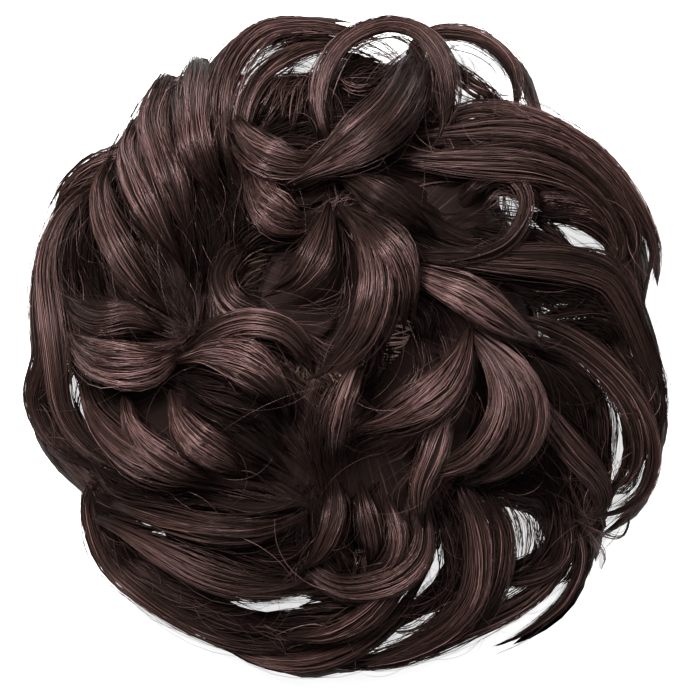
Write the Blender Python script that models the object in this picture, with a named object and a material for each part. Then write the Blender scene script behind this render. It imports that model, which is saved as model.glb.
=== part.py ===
"""A curled top knot hairpiece: an elastic loop, the weft folded on it and two rows of locks.

Metres, +Z up. The piece lies on its underside with its curls up, and its origin is on the
surface that it lies on, below the middle of its outline. The tables are in millimetres: X runs
to the right and Y up the hairpiece as it is seen from above.
"""

import math
from collections import namedtuple

import bmesh
import bpy
from mathutils import Vector

MM = 0.001

# The dome that the locks lie on, in millimetres. The locks keep to the part of it inside its
# edge, and its steepest part isn't followed.
DOME_RADIUS = 82.0
DOME_HEIGHT = 40.0
DOME_EDGE = 0.995
DOME_STEEPEST = 0.9

# The elastic loop and the weft folded on it
LOOP_CENTRE = Vector((-4.0, 10.0, 0.0))
LOOP_RADIUS = 18.0
BAND_WIDTH = 6.0
BAND_THICKNESS = 1.6
BAND_BOTTOM = 3.0
WEFT_WALL = 1.4
WEFT_LIP = 1.2
LOOP_FACETS = 40
STITCH_RELIEF = 0.35

# The gaps between the weft and what touches it, and between the two rows
FIT_GAP = 0.35
ROW_GAP = 0.4

# The section of a lock: its breadth is the table's, and its depth a share of that, within
# limits. Its ends narrow to END_SHARE of that, over the length that END_SWELL gives.
LOCK_SIDES = 6
DEPTH_SHARE = 0.6
DEPTH_LEAST = 4.0
DEPTH_MOST = 6.0
END_SHARE = 0.45
END_SWELL = 2.2

# A lock has a ring each RING_SPACING on the straight, or each RING_TURN in a bend
RING_SPACING = 18.0
RING_TURN = math.radians(62)
RING_LAST_GAP = 0.4
FINE_STEPS = 8

WELD = 0.000001
CREASE = math.radians(50)

# The outside radius of the weft, and the rows of roots start a fit gap further out
WEFT_OUTSIDE = LOOP_RADIUS + BAND_THICKNESS / 2 + FIT_GAP + WEFT_WALL
ROW_INSIDE = WEFT_OUTSIDE + STITCH_RELIEF + FIT_GAP

# How far the roots and the low locks round the rim reach, going round from the right
Reach = namedtuple("Reach", "degrees roots rim")
REACHES = (
    Reach(0, 45, 62),
    Reach(30, 45, 50),
    Reach(60, 55, 57),
    Reach(90, 56, 60),
    Reach(120, 60, 66),
    Reach(150, 60, 67),
    Reach(180, 62, 69),
    Reach(210, 62, 69),
    Reach(240, 58, 62),
    Reach(270, 52, 60),
    Reach(300, 48, 52),
    Reach(330, 51, 56),
)

# The roots fan out from the weft in two rows, the upper on the lower. Each row of points is the
# section of one of them, going round it: how far it is from the weft (0) to the end of the
# roots (1) or to the middle of the loop (-1), and its height as a share of the dome's there.
Row = namedtuple("Row", "name colour section")
LOWER_ROW = Row("lower_locks", (0.045, 0.028, 0.027),
                ((0.0, 0.0), (0.45, 0.0), (0.86, 0.0), (1.0, 0.22), (0.98, 0.42), (0.5, 0.30), (0.0, 0.13)))
UPPER_ROW = Row("curled_locks", (0.062, 0.039, 0.038),
                ((0.0, 0.15), (0.5, 0.32), (0.97, 0.45), (1.0, 0.74), (0.84, 0.95), (0.45, 1.0),
                 (-0.10, 1.0), (-0.60, 0.92), (-0.52, 0.74), (-0.25, 0.54), (-0.02, 0.31)))
ROOT_FACETS = 32
ROOT_RIB = 0.015
REACH_ROUNDS = 12
SHARPEST = 0.4

# A lock runs through its points. Lift is its height over the dome at the root, the middle and
# the tip, and width is its breadth there.
Lock = namedtuple("Lock", "name lift width path")
LOCKS = (
    Lock("bridge", (1, 8, 1), (4, 11, 6),
         ((-14, 36), (-6, 40.5), (2, 45.5), (9, 52), (14, 60), (17, 68))),
    Lock("arch", (-3, 5, -3), (4, 5, 9),
         ((-4, 45), (-6.5, 54), (-5, 63), (0, 70), (9, 73.2), (17, 71), (22, 64), (23.5, 56), (21, 47))),
    Lock("centre_s", (0, 9, 3), (4, 8, 5),
         ((-2, 31.5), (3.5, 25), (6.5, 17), (6, 9), (2.5, 1), (-3, -5), (-9, -8.5))),
    Lock("centre_fall", (-1, 7, 0), (4, 9, 5),
         ((-1, 31), (6, 26.5), (11.5, 20), (13.5, 12), (13, 4), (11, -3))),
    Lock("left_fall", (-1, 5, -2), (3, 7, 3),
         ((-4, 32), (-5.5, 26), (-8, 19), (-12, 14), (-19, 10.5))),
    Lock("centre_drop", (2, 6, -3), (4, 4.5, 3),
         ((3, -3), (0.5, -9), (-1.5, -15), (-3, -22), (-2, -28))),
    Lock("bright_sweep", (-2, 7, 0), (6, 8.5, 4),
         ((12, 18), (20, 14.5), (27, 11.5), (34, 7), (40, 2.5), (46, -2))),
    Lock("low_sweep", (-1, 7, 0), (4, 9, 3),
         ((28, 4), (26.5, -3), (22.5, -9.5), (16, -15), (9, -18.5), (0, -20.5))),
    Lock("low_column", (-2, 6, -1), (4, 10, 5),
         ((27, 4), (34, -2), (39.5, -9), (41.5, -17), (39, -24.5), (33, -30), (25, -32.5))),
    Lock("low_column_inner", (-1, 7, 0), (3, 5, 3),
         ((28, 2), (33, -5), (35.5, -13), (33.5, -20.5), (28, -26.5), (20, -29.5), (12, -29.5))),
    Lock("thin_drop", (-1, 4, 0), (4, 5, 3),
         ((24.5, -13), (22, -19), (20, -25.5), (17, -32), (16.5, -38), (18, -44))),
    Lock("roll_top", (-2, 6, -2), (4, 6, 4),
         ((-37, -2), (-31, 2), (-23, 4.5), (-15, 3), (-10, -1.5), (-7, -8))),
    Lock("roll_face", (-3, 7, -5), (4, 10, 5),
         ((-39, -4), (-32, -2.5), (-25, -4), (-19, -7.5), (-15, -12.5), (-13, -19))),
    Lock("ring_curl", (-4, 3, 2), (3, 3.5, 3),
         ((-22, 22.5), (-27, 20.5), (-29.5, 15.5), (-28, 10), (-23.5, 6.5), (-17, 5.2), (-9, 5.5))),
    Lock("bowl_upper", (-2, 4, -1), (5, 9, 4),
         ((-25, 51), (-22.5, 46), (-17, 42.5), (-10, 41), (-3, 43.5))),
    Lock("bowl_lower", (-2, 4, -3), (5, 10, 4),
         ((-22, 41), (-20.5, 35), (-16.5, 30), (-11, 27.5), (-7, 30))),
    Lock("dark_fall", (-2, 3, -3), (4, 8, 4),
         ((-2, 39), (4, 36), (10, 32), (15, 28.5), (20, 25))),
    Lock("left_tall_a", (-3, 4, -5), (4, 7, 5),
         ((-54, 43), (-57, 36), (-56, 28), (-52, 20), (-46.5, 12.5), (-40, 6))),
    Lock("left_tall_b", (-2, 5, -5), (5, 9, 6),
         ((-48, 51), (-50, 44), (-48, 36), (-44, 28), (-40, 20), (-36, 11), (-34, 3))),
    Lock("left_tall_c", (0, 3, -6), (5, 7.5, 5),
         ((-39, 61), (-43.5, 57), (-45, 50), (-42.5, 42), (-38.5, 34), (-34, 26), (-30, 18))),
    Lock("left_tall_d", (0, 5, -6), (6, 6.5, 4),
         ((-33, 65), (-35.5, 59), (-36, 51), (-34.5, 43), (-31.5, 36), (-28, 28), (-27, 20))),
    Lock("top_loop", (0, 3, -5), (4, 8, 5),
         ((-1, 71.5), (-10, 73), (-19, 71.5), (-26, 65.5), (-29, 57), (-29, 48), (-26, 40), (-23, 33))),
    Lock("top_loop_inner", (-3, 0, -4), (3, 4, 4),
         ((3, 67), (-5, 68), (-13, 66.5), (-20, 61.5), (-24, 54), (-25, 46), (-22, 39))),
    Lock("right_mid", (-4, 2, -2), (4, 8, 5),
         ((8, 43), (20, 42), (31, 42), (42, 41.5), (52, 37.5), (60, 30), (63, 22), (61, 17))),
    Lock("right_ring", (-4, 1, -2), (3, 4, 4),
         ((26, 33), (32, 38), (38, 38), (41, 33), (39.5, 27), (35, 22), (27, 19.5), (17, 20))),
    Lock("right_band", (-4, 1, 0), (5, 7, 5),
         ((14, 20), (25, 19), (38, 19), (50, 19), (60, 16), (66.5, 9), (70, 0), (72.5, -9), (73, -17))),
    Lock("right_shoulder", (-6, -1, -3), (6, 10, 6),
         ((14, 47), (25, 48), (36, 48.5), (47, 46.5), (56, 41), (63, 33), (67, 24), (67, 15))),
    Lock("level_upper", (-5, 2, -3), (4, 6, 4),
         ((-42, 3), (-50, 6), (-57, 5.5), (-63, 8.5), (-66, 14))),
    Lock("level_lower", (-5, 4, -2), (6, 11, 6),
         ((-38, -2), (-45, -5.5), (-53, -5), (-60, -2), (-66, 4))),
    Lock("left_low_a", (-3, 4, -6), (4, 7, 5),
         ((-61, -9), (-58.5, -17), (-52.5, -24), (-44, -28.5), (-34, -31), (-25, -33))),
    Lock("left_low_b", (-2, 5, -6), (4, 7, 5),
         ((-51, -12), (-49.5, -18.5), (-45, -25), (-37.5, -29.5), (-28, -32))),
    Lock("left_low_c", (-3, 5, -7), (4, 8, 5),
         ((-40, -11), (-38.5, -17), (-34.5, -22.5), (-28, -27), (-20, -30))),
    Lock("low_left_upper", (-3, 3, -6), (4, 6, 4),
         ((-54, -36.5), (-46, -39.5), (-37, -42), (-27, -43.5), (-17, -42.5), (-8, -38))),
    Lock("low_left_main", (-2, 3, -2), (4, 8, 6),
         ((-58, -40), (-51, -43.5), (-43, -48), (-34, -53), (-24, -56), (-13, -56.5), (-4, -55))),
    Lock("low_centre_curl", (-3, 3, -5), (4, 6.5, 4),
         ((16.5, -34), (18, -41), (17.5, -48), (13, -53.5), (6, -56.5), (-2, -56.5), (-9, -52), (-10, -46))),
    Lock("low_centre_mid", (-5, 2, -5), (4, 5, 3),
         ((9, -35), (11.5, -44), (10, -50), (5, -53.5), (0, -54))),
    Lock("low_centre_left", (-6, 1.5, -4), (4, 5, 3),
         ((3, -32), (5, -41), (6, -47), (4.5, -52.5))),
    Lock("low_right_column", (-5, 2, 0), (6, 8, 5),
         ((25, -30), (29.5, -40), (30.5, -49), (29, -58), (23, -66), (13, -71.5), (3, -73.5))),
    Lock("low_right_dark", (-8, -2, -2), (4, 6, 4),
         ((31, -32), (35.5, -42), (36, -50), (34, -58), (29, -65), (22, -69))),
    Lock("right_low_sweep", (-6, 0, -1), (4, 6, 4),
         ((42, -9), (47, -18), (52, -25), (58, -31.5), (59.5, -37), (56, -41.5))),
    Lock("right_arc", (-5, 1, 1), (4, 5, 4),
         ((40, 6), (49, 3), (57, -2), (64, -9), (69, -17), (71.5, -26), (69.5, -34), (63.5, -39), (56, -41))),
    Lock("right_arc_inner", (-6, -1, 0), (3, 4, 3),
         ((42, 1), (50, -1), (58, -6), (64.5, -13), (68, -21), (68, -28.5), (64, -33.5), (57, -34))),
    Lock("low_dark_fall", (-7, -1, -3), (4, 5, 4),
         ((-3, -31), (-2.5, -38), (-5, -46), (-11, -54))),
    Lock("bottom_sweep", (-1, 2, -2), (4, 7, 5),
         ((-14, -67.5), (-5, -67.5), (3, -64), (9.5, -58), (14, -51), (17, -44))),
    Lock("left_outer", (-4, -1, -6), (5, 7, 6),
         ((-52, 38), (-61, 34.5), (-67, 27), (-69.5, 17), (-68.5, 6), (-67, -5), (-65.5, -15), (-60.5, -23),
          (-52, -28.5), (-41, -31.5))),
    Lock("left_edge", (-5, -3, -6), (3, 5, 5),
         ((-62, 37), (-70.5, 28), (-72.8, 18), (-72.5, 7), (-71.5, -3), (-73.2, -12), (-70.5, -20),
          (-64.5, -26.5), (-54, -30.5))),
    Lock("top_left_outer", (-7, -3, -5), (4, 6, 4),
         ((-42, 46), (-54, 43.5), (-61, 40), (-66.5, 34.5), (-69, 26))),
    Lock("low_left_rim", (-8, -3, -3), (4, 7, 6),
         ((-52, -26), (-60, -35), (-58.5, -45), (-54, -52), (-47, -58), (-38, -64), (-28, -68.5), (-18, -70),
          (-8, -68))),
    Lock("bottom_rim", (-4, -1, -6), (4, 6, 5),
         ((-30, -67), (-22, -71.5), (-12, -73), (-2, -71.5), (7, -66.5), (14, -59.5), (20, -50))),
    Lock("bottom_right_rim", (-4, -3, -8), (5, 6, 5),
         ((-5, -72.5), (7, -73), (18, -70.5), (29, -66.5), (40, -62), (49, -56), (53, -48), (52, -38))),
    Lock("tail", (-8, -5, -4), (4, 3.5, 2),
         ((50, -38), (54, -46), (53.5, -52), (50.5, -58.5), (45, -64.5), (39, -68.5), (33, -70.5))),
    Lock("right_outer", (-7, -1, -3), (5, 8, 5),
         ((18, 50), (30, 55), (42, 53), (53, 47.5), (61.5, 40), (68, 31), (71, 21), (70, 11))),
    Lock("upper_right_loop", (-2, 1, -6), (4, 5.5, 5),
         ((14, 67), (19, 71.5), (25, 72.5), (31, 71), (37, 66.5), (41, 60), (41, 51))),
    Lock("right_edge", (-8, -3, -3), (4, 5, 4),
         ((48, 24), (60, 21), (67, 14), (70, 5), (72.5, -5), (73.5, -15), (71, -22))),
    Lock("right_low_inner", (-9, -5, -4), (4, 6, 4),
         ((45, -32), (50, -42), (50, -49), (45, -54.5), (37, -57.5), (27, -58))),
    Lock("low_left_under", (-7, -5, -5), (4, 7, 6),
         ((-48, -42), (-52, -49), (-48, -53.5), (-40, -57.5), (-30, -61), (-20, -65), (-8, -65))),
    Lock("top_left_rim", (-6, -5, -8), (5, 8, 5),
         ((-24, 62), (-33, 62.5), (-41, 60), (-48, 55), (-53, 47), (-52, 38))),
)

# The locks that curl round the sides, alike but for their reach. Heights run from root to tip.
SideLocks = namedtuple("SideLocks", "name row count turn start width column heights")
LOW_CURLS = SideLocks("low_curl", LOWER_ROW, 16, math.radians(48), 30.0, (5, 8, 5), "rim",
                      (9, 8, 6, 5, 7, 11))
SIDE_CURLS = SideLocks("side_curl", UPPER_ROW, 14, math.radians(-62), 32.0, (6, 9, 5), "roots",
                       (26, 25, 21, 17, 18, 24))
STANDOFF = 2.0
FULL_REACH_AT = 0.8

COLOUR_BAND = (0.020, 0.016, 0.015)
COLOUR_WEFT = (0.120, 0.075, 0.050)
CLOTH_ROUGHNESS = 0.8
HAIR_ROUGHNESS = 0.45


def reach(angle, column):
    """The roots' or rim's reach in one direction, eased between the rows of the table."""
    step = math.tau / len(REACHES)
    place = (angle % math.tau) / step
    here = int(place) % len(REACHES)
    share = place - int(place)
    share = share * share * (3 - 2 * share)
    near = getattr(REACHES[here], column)
    far = getattr(REACHES[(here + 1) % len(REACHES)], column)
    return near + (far - near) * share


def dome(x, y):
    """Height of the smooth dome that the locks lie on."""
    share = min(math.hypot(x, y) / DOME_RADIUS, DOME_EDGE)
    return DOME_HEIGHT * math.sqrt(1 - share * share)


def dome_normal(point):
    """The direction that faces away from the dome there."""
    x, y = point.x, point.y
    share = min(math.hypot(x, y) / DOME_RADIUS, DOME_STEEPEST)
    slope = DOME_HEIGHT / DOME_RADIUS * share / math.sqrt(1 - share * share)
    out = Vector((x, y, 0))
    if out.length > 0:
        out.normalize()
    return (out * slope + Vector((0, 0, 1))).normalized()


def eased(three, share):
    """A value that eases from the first number through the second to the third."""
    half = min(int(share * 2), 1)
    t = share * 2 - half
    t = t * t * (3 - 2 * t)
    return three[half] + (three[half + 1] - three[half]) * t


def smooth_points(points, steps):
    """A Catmull-Rom curve through the points, with a number of steps to each."""
    ends = [points[0] * 2 - points[1], *points, points[-1] * 2 - points[-2]]
    curve = []
    for a, b, c, d in zip(ends, ends[1:], ends[2:], ends[3:]):
        for step in range(steps):
            t = step / steps
            curve.append((b * 2 + (c - a) * t + (a * 2 - b * 5 + c * 4 - d) * t**2
                          + (b * 3 - a - c * 3 + d) * t**3) / 2)
    curve.append(points[-1].copy())
    return curve


def spaced(curve):
    """The places for rings along a fine curve: closer together where it turns."""
    kept = [0]
    since = 0.0
    for i in range(1, len(curve) - 1):
        here = curve[i] - curve[i - 1]
        ahead = curve[i + 1] - curve[i]
        since += here.length / RING_SPACING + here.angle(ahead) / RING_TURN
        if since >= 1:
            kept.append(i)
            since = 0.0
    if since < RING_LAST_GAP and len(kept) > 2:
        kept.pop()
    kept.append(len(curve) - 1)
    return kept


def lock_line(lock):
    """The middle line of a lock, lifted over the dome, and the share of its length at each ring."""
    flat = smooth_points([Vector((x, y, 0)) for x, y in lock.path], FINE_STEPS)
    last = len(flat) - 1
    fine = [Vector((p.x, p.y, dome(p.x, p.y) + eased(lock.lift, i / last))) for i, p in enumerate(flat)]
    places = spaced(fine)
    return [fine[i] for i in places], [i / last for i in places]


def new_mesh_object(name, bm):
    """An object at the origin that holds the bmesh, scaled from millimetres."""
    bmesh.ops.scale(bm, vec=Vector((MM, MM, MM)), verts=bm.verts)
    mesh = bpy.data.meshes.new(name)
    bm.to_mesh(mesh)
    bm.free()
    obj = bpy.data.objects.new(name, mesh)
    bpy.context.scene.collection.objects.link(obj)
    return obj


def loft(name, rings):
    """A closed tube through rings of points, with a fan over each end."""
    bm = bmesh.new()
    loops = [[bm.verts.new(p) for p in ring] for ring in rings]
    for low, high in zip(loops, loops[1:]):
        for i in range(len(low)):
            j = (i + 1) % len(low)
            bm.faces.new((low[i], low[j], high[j], high[i]))
    for ring, turned in ((loops[0], True), (loops[-1], False)):
        bm.faces.new(ring[::-1] if turned else ring)
    bmesh.ops.triangulate(bm, faces=bm.faces)
    bmesh.ops.recalc_face_normals(bm, faces=bm.faces)
    return new_mesh_object(name, bm)


def lock_rings(line, shares, width, grow=0.0):
    """Flattened rings along a lock, narrow at the root and at the tip."""
    rings = []
    last = len(line) - 1
    for i, (middle, share) in enumerate(zip(line, shares)):
        ahead = (line[min(i + 1, last)] - line[max(i - 1, 0)]).normalized()
        side = ahead.cross(dome_normal(middle)).normalized()
        up = side.cross(ahead).normalized()
        end = min(1.0, END_SHARE + END_SWELL * min(share, 1 - share))
        half_width = eased(width, share) * end / 2 + grow
        half_depth = min(max(eased(width, share) * DEPTH_SHARE, DEPTH_LEAST), DEPTH_MOST) * end / 2 + grow
        centre = middle
        if i == 0:
            centre = middle - ahead * grow
        elif i == last:
            centre = middle + ahead * grow
        turns = [math.tau * k / LOCK_SIDES for k in range(LOCK_SIDES)]
        rings.append([centre + side * half_width * math.cos(t) + up * half_depth * math.sin(t) for t in turns])
    return rings


def side_lock_line(kind, number):
    """The middle line of one of the side locks: out from the roots, round the side and in again."""
    start = math.tau * number / kind.count
    steps = len(kind.heights) - 1
    line = []
    for i, height in enumerate(kind.heights):
        share = i / steps
        angle = start + kind.turn * share
        far = reach(angle, kind.column) + STANDOFF - kind.width[1] / 2
        radius = kind.start + (far - kind.start) * math.sin(math.pi / 2 * min(share / FULL_REACH_AT, 1))
        line.append(Vector((radius * math.cos(angle), radius * math.sin(angle), height)))
    return line, [i / steps for i in range(steps + 1)]


def root_span(way):
    """How far the roots reach from the middle of the loop in one direction."""
    span = ROW_INSIDE
    for _ in range(REACH_ROUNDS):
        spot = LOOP_CENTRE + way * span
        span += reach(math.atan2(spot.y, spot.x), "roots") - spot.length
    return span


def root_rings(row, grow=0.0):
    """The ribbed ring of roots of one row, as sections round the loop."""
    rings = []
    for number in range(ROOT_FACETS):
        turn = math.tau * number / ROOT_FACETS
        way = Vector((math.cos(turn), math.sin(turn), 0))
        rib = 1 + (ROOT_RIB if number % 2 else -ROOT_RIB)
        span = root_span(way) - ROW_INSIDE
        points = []
        for out, height in row.section:
            radius = ROW_INSIDE + (span * out * rib if out > 0 else ROW_INSIDE * out)
            spot = LOOP_CENTRE + way * radius
            points.append(Vector((radius, dome(spot.x, spot.y) * height, 0)))
        points = offset_section(points, grow)
        rings.append([LOOP_CENTRE + way * p.x + Vector((0, 0, p.y)) for p in points])
    return rings


def offset_section(points, grow):
    """The same closed section with each side moved outward."""
    if grow == 0:
        return points
    moved = []
    count = len(points)
    for i, here in enumerate(points):
        before = (here - points[i - 1]).normalized()
        after = (points[(i + 1) % count] - here).normalized()
        lean = Vector((before.y + after.y, -before.x - after.x, 0))
        moved.append(here + lean * grow / max(1 + before.dot(after), SHARPEST))
    return moved


def closed_ring(name, rings):
    """A closed ring through sections that go all the way round."""
    bm = bmesh.new()
    loops = [[bm.verts.new(p) for p in ring] for ring in rings]
    for here, after in zip(loops, loops[1:] + loops[:1]):
        for i in range(len(here)):
            j = (i + 1) % len(here)
            bm.faces.new((here[i], here[j], after[j], after[i]))
    bmesh.ops.triangulate(bm, faces=bm.faces)
    bmesh.ops.recalc_face_normals(bm, faces=bm.faces)
    return new_mesh_object(name, bm)


def ring_at_loop(name, facets, section_at):
    """A closed ring round the loop's middle with a section for each facet."""
    rings = []
    for number in range(facets):
        turn = math.tau * number / facets
        way = Vector((math.cos(turn), math.sin(turn), 0))
        rings.append([LOOP_CENTRE + way * r + Vector((0, 0, z)) for r, z in section_at(number)])
    return closed_ring(name, rings)


def build_band():
    """The flat elastic loop, with a soft round to its edges."""
    half = BAND_THICKNESS / 2
    top = BAND_BOTTOM + BAND_WIDTH
    soft = half * 0.6
    section = (
        (LOOP_RADIUS - half + soft, BAND_BOTTOM), (LOOP_RADIUS + half - soft, BAND_BOTTOM),
        (LOOP_RADIUS + half, BAND_BOTTOM + soft), (LOOP_RADIUS + half, top - soft),
        (LOOP_RADIUS + half - soft, top), (LOOP_RADIUS - half + soft, top),
        (LOOP_RADIUS - half, top - soft), (LOOP_RADIUS - half, BAND_BOTTOM + soft),
    )
    return ring_at_loop("elastic_band", LOOP_FACETS, lambda number: section)


def build_weft():
    """The weft folded round the outside of the loop, with a rise for each stitch."""
    half = BAND_THICKNESS / 2
    low = BAND_BOTTOM - FIT_GAP
    high = BAND_BOTTOM + BAND_WIDTH + FIT_GAP
    wall = LOOP_RADIUS + half + FIT_GAP
    lip = LOOP_RADIUS - half + WEFT_LIP / 2

    def section(number):
        rise = STITCH_RELIEF if number % 2 else 0.0
        out = WEFT_WALL + rise
        return (
            (lip, low - WEFT_LIP), (wall + out * 0.5, low - WEFT_LIP), (wall + out, low),
            (wall + out, high), (wall + out * 0.5, high + WEFT_LIP), (lip, high + WEFT_LIP),
            (lip, high), (wall, high), (wall, low), (lip, low),
        )

    return ring_at_loop("weft_wrap", LOOP_FACETS, section)


def row_pieces(row, grow=0.0):
    """The roots of a row and its locks, each as a closed solid, grown for a cutter."""
    pieces = [closed_ring(row.name + "_roots", root_rings(row, grow))]
    if row is UPPER_ROW:
        for lock in LOCKS:
            line, shares = lock_line(lock)
            pieces.append(loft(lock.name, lock_rings(line, shares, lock.width, grow)))
    for kind in (LOW_CURLS, SIDE_CURLS):
        if kind.row is row:
            for number in range(kind.count):
                line, shares = side_lock_line(kind, number)
                pieces.append(loft(f"{kind.name}_{number}", lock_rings(line, shares, kind.width, grow)))
    return pieces


def collect(name, pieces):
    """A collection of guides that a modifier reads, kept out of the render."""
    group = bpy.data.collections.new(name)
    bpy.context.scene.collection.children.link(group)
    for obj in pieces:
        bpy.context.scene.collection.objects.unlink(obj)
        group.objects.link(obj)
        obj.hide_render = True
        obj.display_type = "WIRE"
    return group


def shell_volume(faces):
    """The signed volume inside a set of triangles, in cubic millimetres."""
    total = 0.0
    for face in faces:
        a, b, c = (v.co for v in face.verts)
        total += a.dot(b.cross(c)) / 6
    return total / MM**3


def keep_main_shell(bm):
    """Leave only the largest body: small scraps and closed pockets go."""
    bmesh.ops.triangulate(bm, faces=bm.faces)
    left = set(bm.faces)
    shells = []
    while left:
        queue = [left.pop()]
        shell = list(queue)
        while queue:
            for edge in queue.pop().edges:
                for face in edge.link_faces:
                    if face in left:
                        left.remove(face)
                        queue.append(face)
                        shell.append(face)
        shells.append(shell)
    shells.sort(key=shell_volume)
    waste = [face for shell in shells[:-1] for face in shell]
    bmesh.ops.delete(bm, geom=waste, context="FACES")


def fuse_row(row, cutters):
    """One row of locks fused to its roots, clear of the row that lies on it."""
    pieces = row_pieces(row)
    body = pieces[0]
    body.name = row.name
    join = body.modifiers.new("join", "BOOLEAN")
    join.operation = "UNION"
    join.solver = "EXACT"
    join.operand_type = "COLLECTION"
    join.collection = collect(row.name + "_parts", pieces[1:])
    join.use_self = True
    if cutters:
        cut = body.modifiers.new("cut", "BOOLEAN")
        cut.operation = "DIFFERENCE"
        cut.solver = "EXACT"
        cut.operand_type = "COLLECTION"
        cut.collection = collect(row.name + "_cutters", cutters)
        cut.use_self = True
    return settle(body)


def settle(body):
    """Apply the modifiers and leave one clean closed body."""
    graph = bpy.context.evaluated_depsgraph_get()
    mesh = bpy.data.meshes.new_from_object(body.evaluated_get(graph))
    bm = bmesh.new()
    bm.from_mesh(mesh)
    bmesh.ops.remove_doubles(bm, verts=bm.verts, dist=WELD)
    bmesh.ops.dissolve_degenerate(bm, dist=WELD, edges=bm.edges)
    keep_main_shell(bm)
    bm.to_mesh(mesh)
    bm.free()
    body.modifiers.clear()
    body.data = mesh
    return body


def material(name, colour, roughness):
    """A plain Principled material."""
    made = bpy.data.materials.new(name)
    made.use_nodes = True
    shader = made.node_tree.nodes["Principled BSDF"]
    shader.inputs["Base Color"].default_value = (*colour, 1)
    shader.inputs["Roughness"].default_value = roughness
    return made


def finish(obj, colour, roughness):
    """Give an object its material and its shading."""
    obj.data.materials.clear()
    obj.data.materials.append(material(obj.name, colour, roughness))
    obj.data.polygons.foreach_set("use_smooth", [True] * len(obj.data.polygons))
    obj.data.set_sharp_from_angle(angle=CREASE)


def build():
    """Build the loop, the weft and the rows of locks."""
    for obj in list(bpy.data.objects):
        bpy.data.objects.remove(obj)
    finish(build_band(), COLOUR_BAND, CLOTH_ROUGHNESS)
    finish(build_weft(), COLOUR_WEFT, CLOTH_ROUGHNESS)
    finish(fuse_row(UPPER_ROW, []), UPPER_ROW.colour, HAIR_ROUGHNESS)
    finish(fuse_row(LOWER_ROW, row_pieces(UPPER_ROW, ROW_GAP)), LOWER_ROW.colour, HAIR_ROUGHNESS)


build()
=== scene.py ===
"""Dresses the top knot hairpiece: its curled locks hair by hair, its roots, weft and elastic loop.

The tables are in millimetres, with X to the right and Y up the hairpiece as it is seen from
above. Everything that is built from them is in metres.
"""

import logging
import math
from dataclasses import dataclass
from enum import Enum

import bmesh
import bpy
import numpy as np
from mathutils import Matrix, Vector


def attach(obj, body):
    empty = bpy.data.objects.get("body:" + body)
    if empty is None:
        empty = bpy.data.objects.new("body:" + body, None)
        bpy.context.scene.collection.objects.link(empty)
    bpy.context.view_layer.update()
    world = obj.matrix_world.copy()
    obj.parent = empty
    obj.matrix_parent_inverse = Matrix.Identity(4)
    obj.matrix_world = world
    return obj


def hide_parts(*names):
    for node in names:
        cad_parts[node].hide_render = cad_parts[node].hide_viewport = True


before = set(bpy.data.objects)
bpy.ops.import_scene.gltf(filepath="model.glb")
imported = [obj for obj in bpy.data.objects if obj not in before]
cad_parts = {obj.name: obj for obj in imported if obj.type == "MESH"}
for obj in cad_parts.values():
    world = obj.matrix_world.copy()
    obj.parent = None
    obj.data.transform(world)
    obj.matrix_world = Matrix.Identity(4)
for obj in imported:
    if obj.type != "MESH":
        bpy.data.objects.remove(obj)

log = logging.getLogger("hairpiece")

MM = 0.001
SHEET_MM = 161.5
SEED = 4107
FLOOR_CLEARANCE = 0.1

# The dome that the locks lie on, and the middle of the elastic loop, as in the solids
DOME_RADIUS = 82.0
DOME_HEIGHT = 40.0
LOOP_X = -4.0
LOOP_Y = 10.0
# The direction from the middle of the loop in which light falls in between the locks, in radians
LIGHT_SIDE = -0.6
# The shares of the dome's radius up to which its height and its slope are read
DOME_EDGE = 0.995
SLOPE_EDGE = 0.9
# How finely a curve is drawn between its points, and how its rings are set
CURVE_STEPS = 12
FEWEST_RINGS = 6
LONGEST_STEP = 7.5
SHARPEST_TURN = 0.4
TINY = 1e-6
# A hair is a tube of three sides, with the refraction of hair
HAIR_SIDES = 3
HAIR_IOR = 1.55
# How far a side lock passes its reach, and the share of its length in which it gets there
PAST_REACH = 2.0
OUT_BY = 0.8
# How deep a lock is: a share of its breadth, from the least to the most, and never past the limit
DEPTH_SHARE = 0.6
LEAST_DEPTH = 4.0
MOST_DEPTH = 6.0
DEPTH_LIMIT = 1.1
# How much darker the hair is in a deep place, and how far its shade reaches, as shares
PIT_SHADE = 0.8
PIT_REACH = 1.5


class Area(Enum):
    """Where on the hairpiece a lock lies, which is also the piece that its hairs belong to."""

    CROWN = "crown"
    LEFT = "left"
    TOP = "top"
    RIGHT = "right"
    LOW = "low"


@dataclass(frozen=True)
class Lock:
    """A curled lock, from its root to its tip.

    Lift is its height over the dome and width its breadth, each at the root, the middle and the
    tip, in millimetres. Light is how brightly lit its hair is painted, 0 to 1: painted light and
    shade, not the hair's own colour. Loose is how far its hairs stray.
    """

    name: str
    area: Area
    lift: tuple[float, float, float]
    width: tuple[float, float, float]
    path: tuple[tuple[float, float], ...]
    light: float = 0.5
    loose: float = 1.0


# Short names for the areas, for the tables
C, L, T, R, B = Area.CROWN, Area.LEFT, Area.TOP, Area.RIGHT, Area.LOW

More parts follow.
